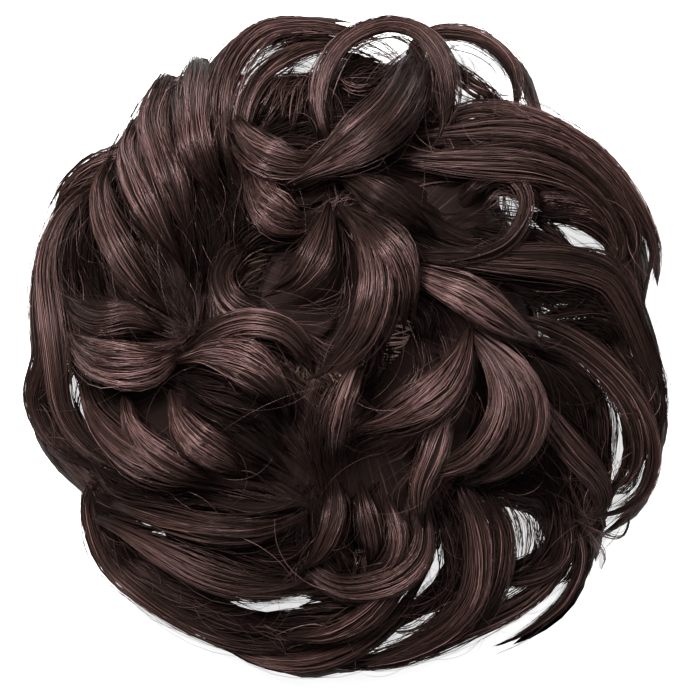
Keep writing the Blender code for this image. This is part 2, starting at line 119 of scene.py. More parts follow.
LOCKS = (
    Lock("bridge", C, (1, 8, -2), (4, 11, 9),
         ((-14, 36), (-6, 40.5), (2, 45.5), (9, 52), (14, 60), (18.6, 70.4)), 0.6),
    Lock("arch", T, (-3, 5, -3), (4, 5, 9),
         ((-4, 45), (-6.5, 54), (-5, 63), (0.3, 70), (9, 73.5), (16.8, 71.6), (22, 65),
          (23.5, 56), (21, 47)), 0.68),
    Lock("centre_s", C, (0, 9, 3), (4, 8, 5),
         ((-2, 31.5), (3.5, 25), (6.5, 17), (6, 9), (2.5, 1), (-3, -5), (-9, -8.5)), 0.7),
    Lock("centre_fall", C, (-1, 7, 0), (4, 9, 5),
         ((-1, 31), (6, 26.5), (11, 20), (13, 13), (13.3, 7.5), (13, 3)), 0.65),
    Lock("left_fall", C, (-1, 5, -2), (3, 7, 3),
         ((-4, 32), (-5.5, 26), (-8, 19), (-12, 14), (-19, 10.5)), 0.45),
    Lock("centre_drop", C, (2, 6, -3), (4, 4.5, 3),
         ((3, -3), (0.5, -9), (-1.5, -15), (-3, -22), (-2, -28)), 0.6),
    Lock("bright_sweep", C, (-2, 7, 0), (6, 8.5, 4),
         ((12, 18), (20, 14.5), (27, 11.5), (34, 7), (40, 2.5), (46, -2)), 0.8),
    Lock("low_sweep", C, (-1, 7, 0), (4, 9, 3),
         ((28, 4), (26.5, -3), (22.5, -9.5), (16, -15), (9, -18.5), (0, -20.5)), 0.75),
    Lock("low_column", C, (-2, 6, -1), (4, 10, 5),
         ((27, 4), (34, -2), (39.5, -9), (41.5, -17), (39, -24.5), (33, -30), (25, -32.5)), 0.58),
    Lock("low_column_inner", C, (-1, 7, 0), (3, 5, 3),
         ((28, 2), (33, -5), (35.5, -13), (33.5, -20.5), (28, -26.5), (20, -29.5), (12, -29.5)), 0.75),
    Lock("thin_drop", C, (-1, 4, 0), (4, 5, 3),
         ((24.5, -13), (22, -19), (20, -25.5), (17, -32), (16.5, -38), (18, -44)), 0.7),
    Lock("roll_top", C, (-2, 6, -2), (4, 6, 4),
         ((-37, -2), (-31, 2), (-23, 4.5), (-15, 3), (-10, -1.5), (-7, -8)), 0.75),
    Lock("roll_face", C, (-3, 7, -5), (4, 10, 5),
         ((-39, -4), (-32, -2.5), (-25, -4), (-19, -7.5), (-15, -12.5), (-13, -19)), 0.7),
    Lock("ring_curl", C, (-4, 3, 2), (3, 3.5, 3),
         ((-22, 22.5), (-27, 20.5), (-29.5, 15.5), (-28, 10), (-23.5, 6.5), (-17, 5.2), (-9, 5.5)), 0.7),
    Lock("bowl_upper", C, (-2, 4, -1), (5, 9, 4),
         ((-27.5, 53.5), (-23, 46.5), (-17, 42.5), (-10, 41), (-3, 43.5)), 0.6),
    Lock("bowl_lower", C, (-2, 4, -3), (5, 10, 4),
         ((-22, 41), (-20.5, 35), (-16.5, 30), (-11, 27.5), (-7, 30)), 0.65),
    Lock("dark_fall", C, (-2, 3, -3), (4, 8, 4),
         ((-2, 39), (4, 36), (10, 32), (15, 28.5), (20, 25)), 0.08),
    Lock("left_tall_a", L, (-3, 4, -5), (4, 7, 5),
         ((-54, 43), (-57, 36), (-56, 28), (-52, 20), (-46.5, 12.5), (-40, 6)), 0.6),
    Lock("left_tall_b", L, (-3, 5, -5), (8, 8.5, 4),
         ((-47.5, 52), (-49.5, 45), (-47.5, 37), (-44, 29.5), (-40.5, 22.5), (-37, 16)), 0.75),
    Lock("left_tall_c", L, (-5, 3, -6), (11, 7.5, 3),
         ((-40.9, 61.8), (-43.2, 57), (-44.7, 50), (-42.3, 42), (-39.5, 34), (-36.5, 26.5), (-33, 18.5)), 0.55),
    Lock("left_tall_d", L, (-5, 5, -5), (13, 8, 3),
         ((-34.2, 65.6), (-35.2, 59), (-35.4, 51), (-34.2, 44), (-31.3, 37), (-28, 30)), 0.7),
    Lock("ring_inner", C, (-4, 1, 0), (1.5, 2, 1.5),
         ((-23.5, 20.5), (-26.8, 17), (-26.3, 12.8), (-22.8, 9.6), (-18, 8)), 0.55),
    Lock("top_loop", T, (-4, 3, -5), (4, 8, 5),
         ((4, 70.8), (-3, 72.6), (-10, 73.6), (-19, 72.3), (-26, 65.5), (-29, 57), (-29, 48),
          (-26, 40), (-23, 33)),
         0.65),
    Lock("top_loop_inner", T, (-3, 0, -4), (4, 5, 4),
         ((-1, 68), (-6, 68.4), (-13, 66.6), (-20, 61.5), (-24, 54), (-25, 46), (-22, 39)), 0.45),
    Lock("right_mid", R, (-4, 2, -2), (4, 8, 5),
         ((8, 43), (20, 42), (31, 42), (42, 41.5), (52, 37.5), (60, 30), (63, 22), (61, 17)), 0.35),
    Lock("right_ring", R, (-4, 1, -2), (3, 4, 4),
         ((26, 33), (32, 38), (38, 38), (41, 33), (39.5, 27), (35, 22), (27, 19.5), (17, 20)), 0.3),
    Lock("right_band", R, (-4, 1, 0), (5, 7, 5),
         ((14, 20), (25, 19), (38, 18.5), (50, 18), (59.5, 15), (64.3, 8.5), (68, 0), (71.4, -9),
          (72.4, -17)), 0.35),
    Lock("right_shoulder", R, (-6, -1, -3), (6, 10, 6),
         ((14, 47), (25, 48), (36, 48.5), (47, 46.5), (56, 41), (63, 33), (67, 24), (67, 15)), 0.4),
    Lock("level_upper", L, (-5, 2, -3), (4, 6, 4),
         ((-42, 3), (-50, 6), (-57, 5.5), (-63, 8.5), (-66, 14)), 0.5),
    Lock("level_lower", L, (-5, 4, -2), (6, 11, 6),
         ((-38, -2), (-45, -5.5), (-53, -5), (-60, -2), (-66, 4)), 0.8),
    Lock("left_low_a", L, (-3, 4, -6), (4, 7, 5),
         ((-61, -9), (-58.5, -17), (-52.5, -24), (-44, -28.5), (-34, -31), (-25, -33)), 0.6),
    Lock("left_low_b", L, (-2, 5, -6), (4, 7, 5),
         ((-51, -12), (-49.5, -18.5), (-45, -25), (-37.5, -29.5), (-28, -32)), 0.75),
    Lock("left_low_c", L, (-3, 5, -7), (4, 8, 5),
         ((-40, -11), (-38.5, -17), (-34.5, -22.5), (-28, -27), (-20, -30)), 0.7),
    Lock("low_left_upper", B, (-3, 3, -6), (4, 6, 4),
         ((-54, -36.5), (-46, -39.5), (-37, -42), (-27, -43.5), (-17, -42.5), (-8, -38)), 0.45),
    Lock("low_left_main", B, (-2, 3, -2), (4, 8, 6),
         ((-58, -40), (-51, -43.5), (-43, -48), (-34, -53), (-24, -56), (-13, -56.5), (-4, -55)), 0.42),
    Lock("low_centre_curl", B, (-3, 3, -5), (4, 6.5, 4),
         ((16.5, -34), (18, -41), (17.5, -48), (13, -53.5), (6, -56.5), (-2, -56.5), (-9, -52), (-10, -46)),
         0.5),
    Lock("low_centre_mid", B, (-5, 2, -5), (4, 5, 3),
         ((9, -35), (11.5, -44), (10, -50), (5, -53.5), (0, -54)), 0.4),
    Lock("low_centre_left", B, (-6, 1.5, -4), (4, 5, 3),
         ((3, -32), (5, -41), (6, -47), (4.5, -52.5)), 0.38),
    Lock("low_right_column", B, (-5, 2, 0), (6, 8, 5),
         ((25, -30), (29.5, -40), (30.5, -49), (29, -58), (23, -66), (13, -71.5), (3, -73.5)), 0.38),
    Lock("low_right_dark", B, (-8, -2, -2), (4, 6, 4),
         ((31, -32), (35.5, -42), (36, -50), (34, -58), (29, -65), (22, -69)), 0.2),
    Lock("right_low_sweep", R, (-6, 0, -1), (4, 6, 4),
         ((42, -9), (47, -18), (52, -25), (58, -31.5), (59.5, -37), (56, -41.5)), 0.4),
    Lock("right_arc", R, (-5, 1, 0), (4, 3.2, 3.4),
         ((40, 6), (49, 3), (57, -2), (64.4, -9), (69.4, -17), (71.2, -26), (69.2, -33.8),
          (64.5, -38.3), (58, -40.2),
          (51, -41.5)), 0.35),
    Lock("right_arc_inner", R, (-6, -1, 0), (3, 4, 3),
         ((42, 1), (50, -1), (57.5, -6), (63.8, -13), (66.8, -21), (66.8, -28), (63.5, -32.8), (57, -34)), 0.3),
    Lock("low_dark_fall", B, (-7, -1, -3), (4, 5, 4),
         ((-3, -31), (-2.5, -38), (-5, -46), (-11, -54)), 0.3),
    Lock("bottom_sweep", B, (-1, 2, -2), (4, 7, 5),
         ((-14, -67.5), (-5, -67.5), (3, -64), (9.5, -58), (14, -51), (17, -44)), 0.34),
    Lock("left_outer", L, (-4, -1, -6), (5, 7, 6),
         ((-52, 38), (-61, 34.5), (-67, 27), (-69.5, 17), (-68.5, 6), (-67, -5), (-65.5, -15), (-60.5, -23),
          (-52, -28.5), (-41, -31.5)), 0.45),
    Lock("left_edge", L, (-5, -3, -6), (3, 5, 5),
         ((-61, 36), (-67.6, 28), (-70.8, 18), (-71.6, 7), (-70.8, -3), (-73.2, -12), (-70.6, -20),
          (-64.6, -26.2), (-54.5, -30.8)), 0.35, 1.6),
    Lock("top_left_outer", T, (-7, -3, -5), (4, 6, 4),
         ((-42, 46), (-53.3, 43.3), (-60.6, 39.8), (-66, 34.2), (-68.3, 26)), 0.4, 1.4),
    Lock("low_left_rim", B, (-8, -3, -3), (4, 7, 6),
         ((-52, -26), (-59.3, -35), (-58, -45), (-54.2, -52.3), (-47, -58), (-38, -64), (-28, -68.5), (-18, -70),
          (-8, -68)), 0.32),
    Lock("bottom_rim", B, (-4, -1, -6), (4, 6, 5),
         ((-30, -68), (-22, -72.7), (-12, -74.4), (-2, -72.4), (7, -67), (14, -59.5), (20, -50)), 0.32),
    Lock("bottom_right_rim", B, (-4, -3, -8), (5, 6, 5),
         ((-5, -73.5), (7, -74), (18, -71), (28.7, -66.1), (39.5, -61), (47.4, -54.6),
          (51.2, -47.5), (50.5, -38)), 0.36),
    Lock("tail", R, (-8, -5, -4), (3.5, 2.4, 1.4),
         ((50, -38), (54, -46), (54, -53), (51, -59.4), (48.4, -62.2), (44.8, -65.2),
          (39.9, -68.4), (34, -70.8)),
         0.35, 0.3),
    Lock("right_outer", R, (-7, -1, -3), (5, 8, 5),
         ((18, 50), (30, 54), (41.5, 51.9), (52, 46.4), (60.9, 39.4), (67.4, 30.7), (70.9, 21.5),
          (68.8, 12)), 0.58),
    Lock("upper_right_loop", T, (-2, 1, -6), (4, 4.6, 4.5),
         ((14, 67), (19, 71.3), (25, 72.1), (31, 70.7), (36.7, 66.2), (39.4, 59.8), (38.6, 51)), 0.5),
    Lock("right_edge", R, (-8, -3, -3), (4, 5, 4),
         ((49, 20.6), (58.5, 19.6), (64.5, 14), (66.6, 5), (70.7, -5), (73, -15), (71, -22)), 0.35),
    Lock("right_low_inner", R, (-9, -5, -4), (4, 6, 4),
         ((45, -32), (50, -42), (50, -49), (45.5, -53.5), (38, -55.2), (28, -56)), 0.3),
    Lock("low_left_under", B, (-7, -5, -5), (4, 7, 6),
         ((-48, -42), (-52, -49), (-48, -53.5), (-40, -57.5), (-30, -61), (-20, -65), (-8, -65)), 0.35),
    Lock("right_gold", R, (-7, -4, -5), (6, 8, 6), ((42, 34), (49, 33.3), (56, 32), (62, 27.5), (66, 20)), 0.8),
    Lock("top_left_rim", T, (-6, -5, -8), (5, 8, 5),
         ((-24, 61.5), (-32, 61.5), (-39.5, 57.8), (-45.4, 52), (-49.8, 45.2), (-50.5, 38)), 0.35),
)


# Locks that lie deep between the others, painted darker for the shade they lie in
FILL_LOCKS = (
    Lock("top_fill_high", T, (-6, -4, -6), (5, 8, 5),
         ((-26, 52), (-18, 57), (-9, 58.5), (0, 58.5), (8, 58)), 0.3),
    Lock("top_fill_low", T, (-7, -5, -6), (6, 10, 6),
         ((-22, 46), (-11, 51), (0, 52), (11, 51), (22, 47)), 0.25),
    Lock("top_fill_leg", T, (-4, -2, -5), (4, 6, 4), ((-5, 64), (-6, 58), (-5.5, 51), (-3, 45)), 0.45),
    Lock("top_fill_right", T, (-5, -3, -6), (4, 6, 5), ((21, 66), (20, 60), (21, 53), (24, 47)), 0.35),
    Lock("right_fill_upper", R, (-7, -5, -6), (6, 9, 6), ((28, 26), (36, 24), (46, 23), (50, 20)), 0.2),
    Lock("right_fill_middle", R, (-8, -5, -5), (7, 11, 6),
         ((36, 14), (46, 13), (55, 11), (62, 5), (66, -4)), 0.2),
    Lock("right_fill_lower", R, (-8, -6, -6), (6, 10, 6), ((42, -2), (50, -6), (56, -12), (58, -19)), 0.2),
    Lock("right_fill_inner", R, (-8, -7, -6), (6, 9, 5), ((44, -14), (48, -23), (50, -31), (49, -38)), 0.2),
    Lock("right_fill_outer", R, (-8, -5, -5), (4, 6, 4),
         ((58, -5), (64, -11), (66.5, -19), (66, -27), (62, -32)), 0.3),
    Lock("right_fill_bend", R, (-8, -6, -6), (5, 8, 5),
         ((44, -28), (48, -35), (49, -43), (46, -51), (39, -54.5)), 0.25),
    Lock("low_fill_column", B, (-7, -5, -6), (5, 9, 5),
         ((21, -38), (24, -46), (25, -54), (21, -61), (14, -63)), 0.3),
    Lock("low_fill_left", B, (-7, -5, -6), (6, 9, 6), ((-40, -47), (-28, -50.5), (-16, -51.5), (-4, -49)), 0.2),
    Lock("low_fill_middle", B, (-7, -5, -6), (6, 9, 6), ((-8, -36), (-6, -44), (-3, -50), (4, -57)), 0.2),
    Lock("low_fill_bottom", B, (-6, -4, -5), (5, 8, 6), ((-22, -65), (-12, -66), (-2, -65), (6, -61)), 0.35),
    Lock("right_fill_rise", R, (-5, -3, -4), (4, 4.5, 3),
         ((41, 30), (47, 28.8), (52.5, 28.6), (58.5, 25.6), (63.5, 19)), 0.35),
    Lock("right_fill_under", R, (-5, -3, -4), (3, 4.5, 3),
         ((42, 29.5), (45, 27.4), (48.3, 24.7), (51.4, 21.6), (57, 18.5)), 0.4),
    Lock("right_fill_base", R, (-5, -3, -4), (3, 4, 3), ((36, 25), (43, 24.5), (49, 21.5), (58, 17.5)), 0.3),
    Lock("right_fill_slope", R, (-7, -4, -4), (3, 6, 4), ((43, 4.5), (50, 7), (57, 8), (64, 5), (68, -1)), 0.3),
    Lock("right_fill_slit", R, (-8, -6, -6), (2, 2, 2), ((57, -8), (60.3, -15), (60.9, -22), (61, -31)), 0.3),
    Lock("right_fill_edge", R, (-8, -5, -5), (3, 5, 4),
         ((60, 1), (65, -7), (66, -16), (65.5, -26), (62, -33)), 0.3),
    Lock("low_fill_right", B, (-7, -5, -5), (3, 5, 4), ((30, -33), (37, -34.5), (44, -36.5), (47, -42)), 0.3),
    Lock("left_fill_rim", L, (-5, -4, -5), (4, 7, 5), ((-38, -40), (-47, -39.5), (-55, -37), (-61, -33)), 0.35),
    Lock("roll_fill_upper", C, (-4, -1, -5), (5, 9, 6), ((-39, -8), (-32, -11), (-24, -14), (-15, -20)), 0.2),
    Lock("roll_fill_lower", C, (-5, -3, -6), (5, 9, 6), ((-36, -14), (-29, -18), (-22, -23), (-13, -30)), 0.05),
    Lock("top_loop_fill", T, (-5, -3, -5), (3, 4, 3), ((2.5, 69), (-4, 70.3), (-11, 70.2), (-17, 68)), 0.4),
    Lock("arch_fill_edge", T, (-6, -5, -6), (3, 3.4, 3),
         ((-3.5, 66.5), (1, 66.6), (5.6, 64.8), (11, 62)), 0.35),
    Lock("low_fill_gap", B, (-5, -3, -5), (3, 4, 3), ((-52, -42), (-45, -45.4), (-36, -48), (-27, -50)), 0.3),
    Lock("rim_fill_gap", B, (-6, -4, -5), (3, 4, 3), ((-39, -60), (-31, -63.6), (-23, -66), (-14, -67.6)), 0.3),
    Lock("left_fill_middle", L, (-7, -5, -6), (6, 8, 6), ((-51, 42), (-52.5, 35), (-50, 27), (-46, 19)), 0.25),
    Lock("left_fill_side", L, (-7, -6, -6), (5, 8, 6), ((-60, 36), (-62.5, 28), (-63, 19), (-61, 11)), 0.25),
    Lock("arch_fill_low", T, (-6, -4, -5), (4, 6, 4), ((-4.5, 57), (0, 62), (4.5, 64.3), (10, 62.5)), 0.3),
    Lock("arch_fill_side", T, (-5, -3, -5), (4, 5, 3), ((3, 57), (8.5, 60.5), (12.5, 64.5), (17, 69)), 0.35),
    Lock("top_fill_left", T, (-6, -4, -5), (4, 6, 4), ((-25, 54), (-18, 59.3), (-12, 60.8), (-6, 60.4)), 0.35),
    Lock("arch_fill_leg", T, (-6, -4, -5), (3, 4, 3), ((15, 62), (17.5, 58), (19, 53), (19, 47)), 0.3),
    Lock("shade_fill_left", L, (-6, -4, -6), (8, 13, 9), ((-36, 42), (-33, 33), (-31, 23), (-34, 10)), 0.0),
    Lock("shade_fill_right", R, (-7, -5, -6), (5, 8, 5), ((42, -4), (47, -10), (51, -17), (53, -25)), 0.1),
    Lock("loop_fill", T, (-6, -4, -5), (3.5, 5, 3.5),
         ((21, 68), (24.2, 64.2), (28, 61), (31.8, 58), (37, 53)), 0.35),
    Lock("slit_fill_left", R, (-8, -6, -6), (4, 5, 4), ((54, -8), (57.5, -15), (58.3, -22), (58.8, -31)), 0.25),
    Lock("left_fill_slit", L, (-5, -4, -5), (2, 3, 2),
         ((-69.5, 2), (-69.6, -5), (-70.3, -12), (-68.3, -19)), 0.3),
    Lock("low_fill_rim", B, (-6, -5, -5), (4, 5, 4), ((-58, -35), (-56, -42), (-53, -48), (-47, -53)), 0.3),
    Lock("low_fill_slit", B, (-5, -4, -5), (2, 3.2, 3), ((-11, -61), (-5, -60.4), (3, -59.6), (9, -56)), 0.3),
    Lock("bend_fill_low", B, (-6, -5, -6), (3, 4, 3), ((45, -49), (41.5, -52.2), (37, -53.6), (32, -53)), 0.25),
    Lock("bottom_fill_upper", B, (-6, -5, -5), (3, 3.5, 3), ((8, -64), (14.5, -62), (20, -59), (25, -53)), 0.3),
    Lock("bottom_fill_lower", B, (-6, -5, -5), (3, 3.5, 3), ((8, -72), (15, -69.5), (21, -66), (27, -60)), 0.3),
    Lock("left_fill_low", L, (-7, -5, -6), (7, 11, 7), ((-60, -24), (-52, -32), (-42, -36), (-30, -38)), 0.25),
    Lock("left_fill_high", L, (-7, -5, -6), (7, 11, 7), ((-52, 40), (-58, 30), (-60, 19), (-57, 9)), 0.3),
    Lock("weft_cover_low", C, (-5, -3.5, -5), (4, 6, 4),
         ((7.4, 3), (6.6, -2.5), (4.4, -7.5), (0, -11.5)), 0.15),
    Lock("weft_cover_side", C, (-4, -3, -4), (4, 4.5, 4), ((11, 12), (15, 9.5), (18.3, 5.5), (19.5, 0)), 0.2),
    Lock("weft_cover_left", C, (-4, -3, -5), (3, 4, 3),
         ((-14, 24.5), (-18.5, 25.6), (-23, 23.4), (-26, 18)), 0.1),
    Lock("tail_fill", R, (-8, -7, -7), (3, 4, 3), ((50.6, -43), (51.4, -49), (50, -54), (46.5, -57.5)), 0.25),
    Lock("speck_fill_right", R, (-8, -6, -6), (3, 5, 3), ((35, -29), (39.5, -32), (44, -33.5), (49, -34)), 0.2),
    Lock("arch_fill_inner", T, (-7, -5, -6), (4, 6, 4), ((-5, 61), (-0.5, 60), (4, 62.3), (7.5, 64)), 0.3),
    Lock("left_fill_top", L, (-7, -5, -6), (5, 6, 4), ((-32.5, 64), (-34, 58), (-39, 55), (-42, 49)), 0.25),
)


# Thin wisps that stand away from the locks, or cross a gap between them
WISPS = (
    Lock("wisp_curl", R, (-6, -4, -3), (2.0, 1.4, 1.0),
         ((52, -40.5), (57, -42.8), (61, -44.6), (63.9, -44.7), (65.4, -42), (65.8, -38.6)), 0.55, 0.3),
    Lock("wisp_drop", R, (-6, -5, -5), (2.0, 1.4, 1.2),
         ((53.5, -41), (57.5, -46), (59.7, -49.5), (59.6, -53)), 0.55, 0.3),
    Lock("arch_strands", T, (-5, -3, -5), (2, 3, 2), ((-2, 71), (5, 69.3), (10.5, 66), (16, 60)), 0.3),
    Lock("slit_strands", R, (-6, -5, -5), (2, 3.5, 2), ((58.5, -8), (60.6, -16), (61.3, -23), (61, -31)), 0.3),
    Lock("bend_strands", B, (-6, -5, -6), (2, 3, 2), ((35, -34), (38, -40), (39.4, -46), (39.2, -53)), 0.3),
    Lock("bend_strands_outer", B, (-6, -5, -6), (2, 3, 2),
         ((37, -36), (40.5, -40.5), (41.2, -46), (40.5, -52)), 0.3),
    Lock("bottom_strands", B, (-5, -4, -5), (2, 3, 2), ((9, -66.5), (14, -65.5), (19, -62.5), (23, -58)), 0.3),
    Lock("ring_strands", R, (-6, -5, -6), (4, 5, 4), ((31, 30), (35, 33.4), (38.5, 32.5), (42, 29)), 0.3),
    Lock("loop_strands", T, (-5, -4, -5), (2, 3, 2), ((23, 62), (27, 58), (31, 56), (36, 55)), 0.3),
    Lock("loop_strands_outer", T, (-6, -4, -5), (2, 3.5, 2),
         ((24, 64.5), (28, 61.2), (32, 58.8), (37, 56.8)), 0.3),
    Lock("arch_strands_low", T, (-6, -4, -5), (3, 4, 3), ((-4, 62.5), (0, 58.8), (4, 58), (9, 60)), 0.3),
    Lock("top_cross_right", T, (-4, -2.5, -4), (4, 6, 4),
         ((-7.5, 63), (-11, 57.5), (-12.5, 52), (-12, 46.5)), 0.35, 2.0),
    Lock("top_cross_left", T, (-4, -2.5, -4), (4, 6, 4),
         ((-12, 63), (-16.5, 57), (-18.5, 52), (-19, 47)), 0.35, 2.0),
    Lock("rim_strands", L, (-7, -5, -6), (2, 3.2, 2), ((-51, 45), (-58, 42.3), (-63, 38.3), (-66.6, 33)), 0.35),
    Lock("top_strands", T, (-5, -4, -5), (2, 3, 2), ((-24, 57), (-18, 61.8), (-12, 63.4), (-6, 62)), 0.3),
    Lock("edge_strands", R, (-6, -4, -4), (2, 3, 2), ((59, -31.5), (63, -33.5), (66, -32), (67.5, -27)), 0.3),
)


@dataclass(frozen=True)
class SideLocks:
    """Locks that curl round the sides, alike but for their reach, as in the solids.

    Turn is how far round each goes, in radians, start how far from the middle it begins, reach
    the column of the reaches that it goes out to, heights its heights from root to tip, and light
    how brightly lit its hair is painted: painted light and shade.
    """

    name: str
    count: int
    turn: float
    start: float
    width: tuple[float, float, float]
    reach: str
    heights: tuple[float, ...]
    light: float


LOW_CURLS = SideLocks("low_curls", 16, math.radians(48), 30.0, (5, 8, 5), "rim", (9, 8, 6, 5, 7, 11), 0.35)
SIDE_CURLS = SideLocks("side_curls", 14, math.radians(-62), 32.0, (6, 9, 5), "roots",
                       (26, 25, 21, 17, 18, 24), 0.4)


@dataclass(frozen=True)
class Reach:
    """How far the roots and the low locks reach in one direction, in millimetres."""

    roots: float
    rim: float


# One row for every 30 degrees, from the right and turning to the top
REACHES = (
    Reach(45, 62), Reach(45, 50), Reach(55, 57), Reach(56, 60), Reach(60, 66), Reach(60, 67),
    Reach(62, 69), Reach(62, 69), Reach(58, 62), Reach(52, 60), Reach(48, 52), Reach(51, 56),
)


@dataclass(frozen=True)
class Gap:
    """A place where the floor shows between the locks, as a disc in millimetres."""

    x: float
    y: float
    radius: float


GAPS = (
    Gap(-8, 64.5, 1.6), Gap(-6, 65, 1), Gap(-12, 64, 1.2), Gap(-14, 62.8, 0.8), Gap(-20, 64.5, 1),
    Gap(-23.5, 61.5, 0.8), Gap(6, 69, 2), Gap(9, 69, 3.4), Gap(9.5, 66.5, 1.5), Gap(13, 70.5, 1.8),
    Gap(15.5, 71, 1), Gap(22, 71.5, 1), Gap(24, 70, 0.8), Gap(26, 67, 1.3), Gap(30, 65.5, 2.2),
    Gap(33, 63.5, 2.2), Gap(35, 61, 2.2), Gap(37, 59, 1.8), Gap(38.5, 57, 1.2), Gap(26, 57.5, 1.2),
    Gap(28, 56.5, 1.2), Gap(30, 55.5, 0.8), Gap(36, 32.8, 0.9), Gap(40.5, 27, 0.9), Gap(54, 24, 2.1),
    Gap(55.5, 23.2, 1.7), Gap(52.5, 25.5, 0.9), Gap(59, 20.5, 0.9), Gap(46.3, 7.7, 0.4),
    Gap(62.3, -18.5, 0.7), Gap(62.6, -21, 1), Gap(63, -23.5, 1.2), Gap(62.7, -27, 1), Gap(69, -30, 0.8),
    Gap(67, -33.5, 0.9), Gap(63, -37, 1.6), Gap(38, -39.5, 1.3), Gap(40, -41.5, 2), Gap(41.5, -44, 1.8),
    Gap(41.8, -47, 1.3), Gap(39, -46, 1.8), Gap(38.5, -48.3, 1), Gap(36.5, -58.5, 1.4), Gap(38.5, -58, 1),
    Gap(35.2, -60, 0.8), Gap(49, -60, 1.2), Gap(46, -62, 1.4), Gap(42, -64.5, 1.4), Gap(29, -61, 0.5),
    Gap(-22.5, -61.3, 0.9), Gap(-19, -60.8, 1.3), Gap(-16, -60.5, 1.4), Gap(-13, -59.5, 1),
    Gap(20, -51.5, 1.1), Gap(19.5, -53.5, 1.3), Gap(16, -55.5, 0.8), Gap(14, -58, 0.8), Gap(18.5, -64, 1),
    Gap(16, -65.5, 1.3), Gap(13, -67.2, 1.4), Gap(10.5, -69, 1), Gap(3.3, -46.8, 0.7), Gap(0.2, -53, 0.5),
)


# Deep places between the locks, where the hair lies in shade
PITS = (
    Gap(-14, -25, 9), Gap(-6, -30, 8), Gap(5, -28, 7), Gap(-38, 16, 8), Gap(-34, 25, 7), Gap(-42, 8, 6),
    Gap(-15, -17, 6), Gap(7, -10, 4), Gap(-1, 17, 3), Gap(-15, 22, 5), Gap(-16, 12, 4), Gap(-30, -45, 7),
    Gap(-16, -50, 7), Gap(-6, -42, 6), Gap(34, 10, 5), Gap(43, 11, 6), Gap(52, 10, 6), Gap(47, -5, 7),
    Gap(55, -13, 6), Gap(44, -31, 6), Gap(31, -38, 5), Gap(46, 32, 6), Gap(10, 35, 5), Gap(22, 29, 6),
    Gap(28, 34, 5), Gap(8, 43, 4), Gap(-22, 50, 5), Gap(-14, 54, 6), Gap(0, 56, 5), Gap(-58, 30, 5),
    Gap(-60, 14, 5), Gap(-50, -12, 4), Gap(27, -20, 4), Gap(22, -25, 4), Gap(30, -58, 6), Gap(26, -64, 5),
    Gap(45, -53, 5), Gap(-48, -34, 6), Gap(-33, -36, 6),
)

# Hollows so deep that the locks that reach into them are in shade too
SHADOWS = (
    Gap(-32, 25, 7), Gap(-28, 33, 4.5), Gap(-37, 13, 6), Gap(-61, 18, 6), Gap(-59, 12, 4), Gap(-15, -23, 8),
    Gap(-7, -31, 7), Gap(-24, -17, 5), Gap(5, -27, 5), Gap(-17, -13, 4), Gap(44, 11, 5), Gap(50, -7, 6),
    Gap(40, -34, 5), Gap(33, -37, 4), Gap(-36, -34, 4), Gap(-13, 21, 3), Gap(-2, 16, 2), Gap(7, -11, 3),
    Gap(11, 45, 6), Gap(17, 26, 4.5), Gap(9, 33, 4.5), Gap(46, -51, 4), Gap(-35, 6, 5), Gap(-26, 26, 3.5),
    Gap(-41, -56, 5), Gap(-17, -66, 5), Gap(-31, 17, 5.5), Gap(-30, 40, 4), Gap(6, 28, 4.5),
    Gap(-15, -51, 7.5), Gap(-24, -63, 6), Gap(-10, -62, 5), Gap(-30, -46, 3.5), Gap(-34, -61, 5),
    Gap(-53, -50, 4.5), Gap(-45, -56, 4), Gap(-20, -35, 6), Gap(22, 30, 5),
)

# Where the sewn weft shows deep between the locks
WINDOWS = (
    Gap(-20.8, 15.5, 2.0), Gap(-21.6, 12.5, 2.2), Gap(-21.8, 9, 2.0), Gap(-20.5, 6.5, 1.5),
    Gap(12.5, 1, 2.0), Gap(12, -1.5, 2.2), Gap(10, -4, 1.5),
)


def dome_height(xy: np.ndarray) -> np.ndarray:
    """Height of the dome over points on the ground.

    Args:
        xy: points in millimetres, one a row.

    Returns:
        A height for each, in millimetres.
    """
    share = np.minimum(np.hypot(xy[..., 0], xy[..., 1]) / DOME_RADIUS, DOME_EDGE)
    return DOME_HEIGHT * np.sqrt(1 - share**2)


def dome_normal(xy: np.ndarray) -> np.ndarray:
    """The outward direction of the dome at points on the ground, as unit rows."""
    far = np.hypot(xy[..., 0], xy[..., 1])
    share = np.minimum(far / DOME_RADIUS, SLOPE_EDGE)
    slope = DOME_HEIGHT / DOME_RADIUS * share / np.sqrt(1 - share**2)
    outward = xy / np.maximum(far, TINY)[..., None] * slope[..., None]
    rows = np.concatenate([outward, np.ones_like(far)[..., None]], axis=-1)
    return rows / np.linalg.norm(rows, axis=-1, keepdims=True)


def eased(three: tuple[float, float, float], share: np.ndarray) -> np.ndarray:
    """Values that ease from the first number through the second to the third."""
    half = np.minimum((share * 2).astype(int), 1)
    t = share * 2 - half
    t = t * t * (3 - 2 * t)
    table = np.array(three, dtype=float)
    return table[half] + (table[half + 1] - table[half]) * t


def curve_through(points: np.ndarray) -> np.ndarray:
    """A smooth curve through points, as a fine row of places."""
    ends = np.vstack([points[0] * 2 - points[1], points, points[-1] * 2 - points[-2]])
    t = np.linspace(0, 1, CURVE_STEPS, endpoint=False)[:, None]
    fine = []
    for i in range(len(points) - 1):
        a, b, c, d = ends[i:i + 4]
        fine.append((2 * b + (c - a) * t + (2 * a - 5 * b + 4 * c - d) * t**2
                     + (3 * b - a - 3 * c + d) * t**3) / 2)
    return np.vstack([*fine, points[-1:]])


def run_of(line: np.ndarray) -> np.ndarray:
    """How far along a line each of its places is."""
    return np.concatenate([[0], np.cumsum(np.linalg.norm(np.diff(line, axis=0), axis=1))])


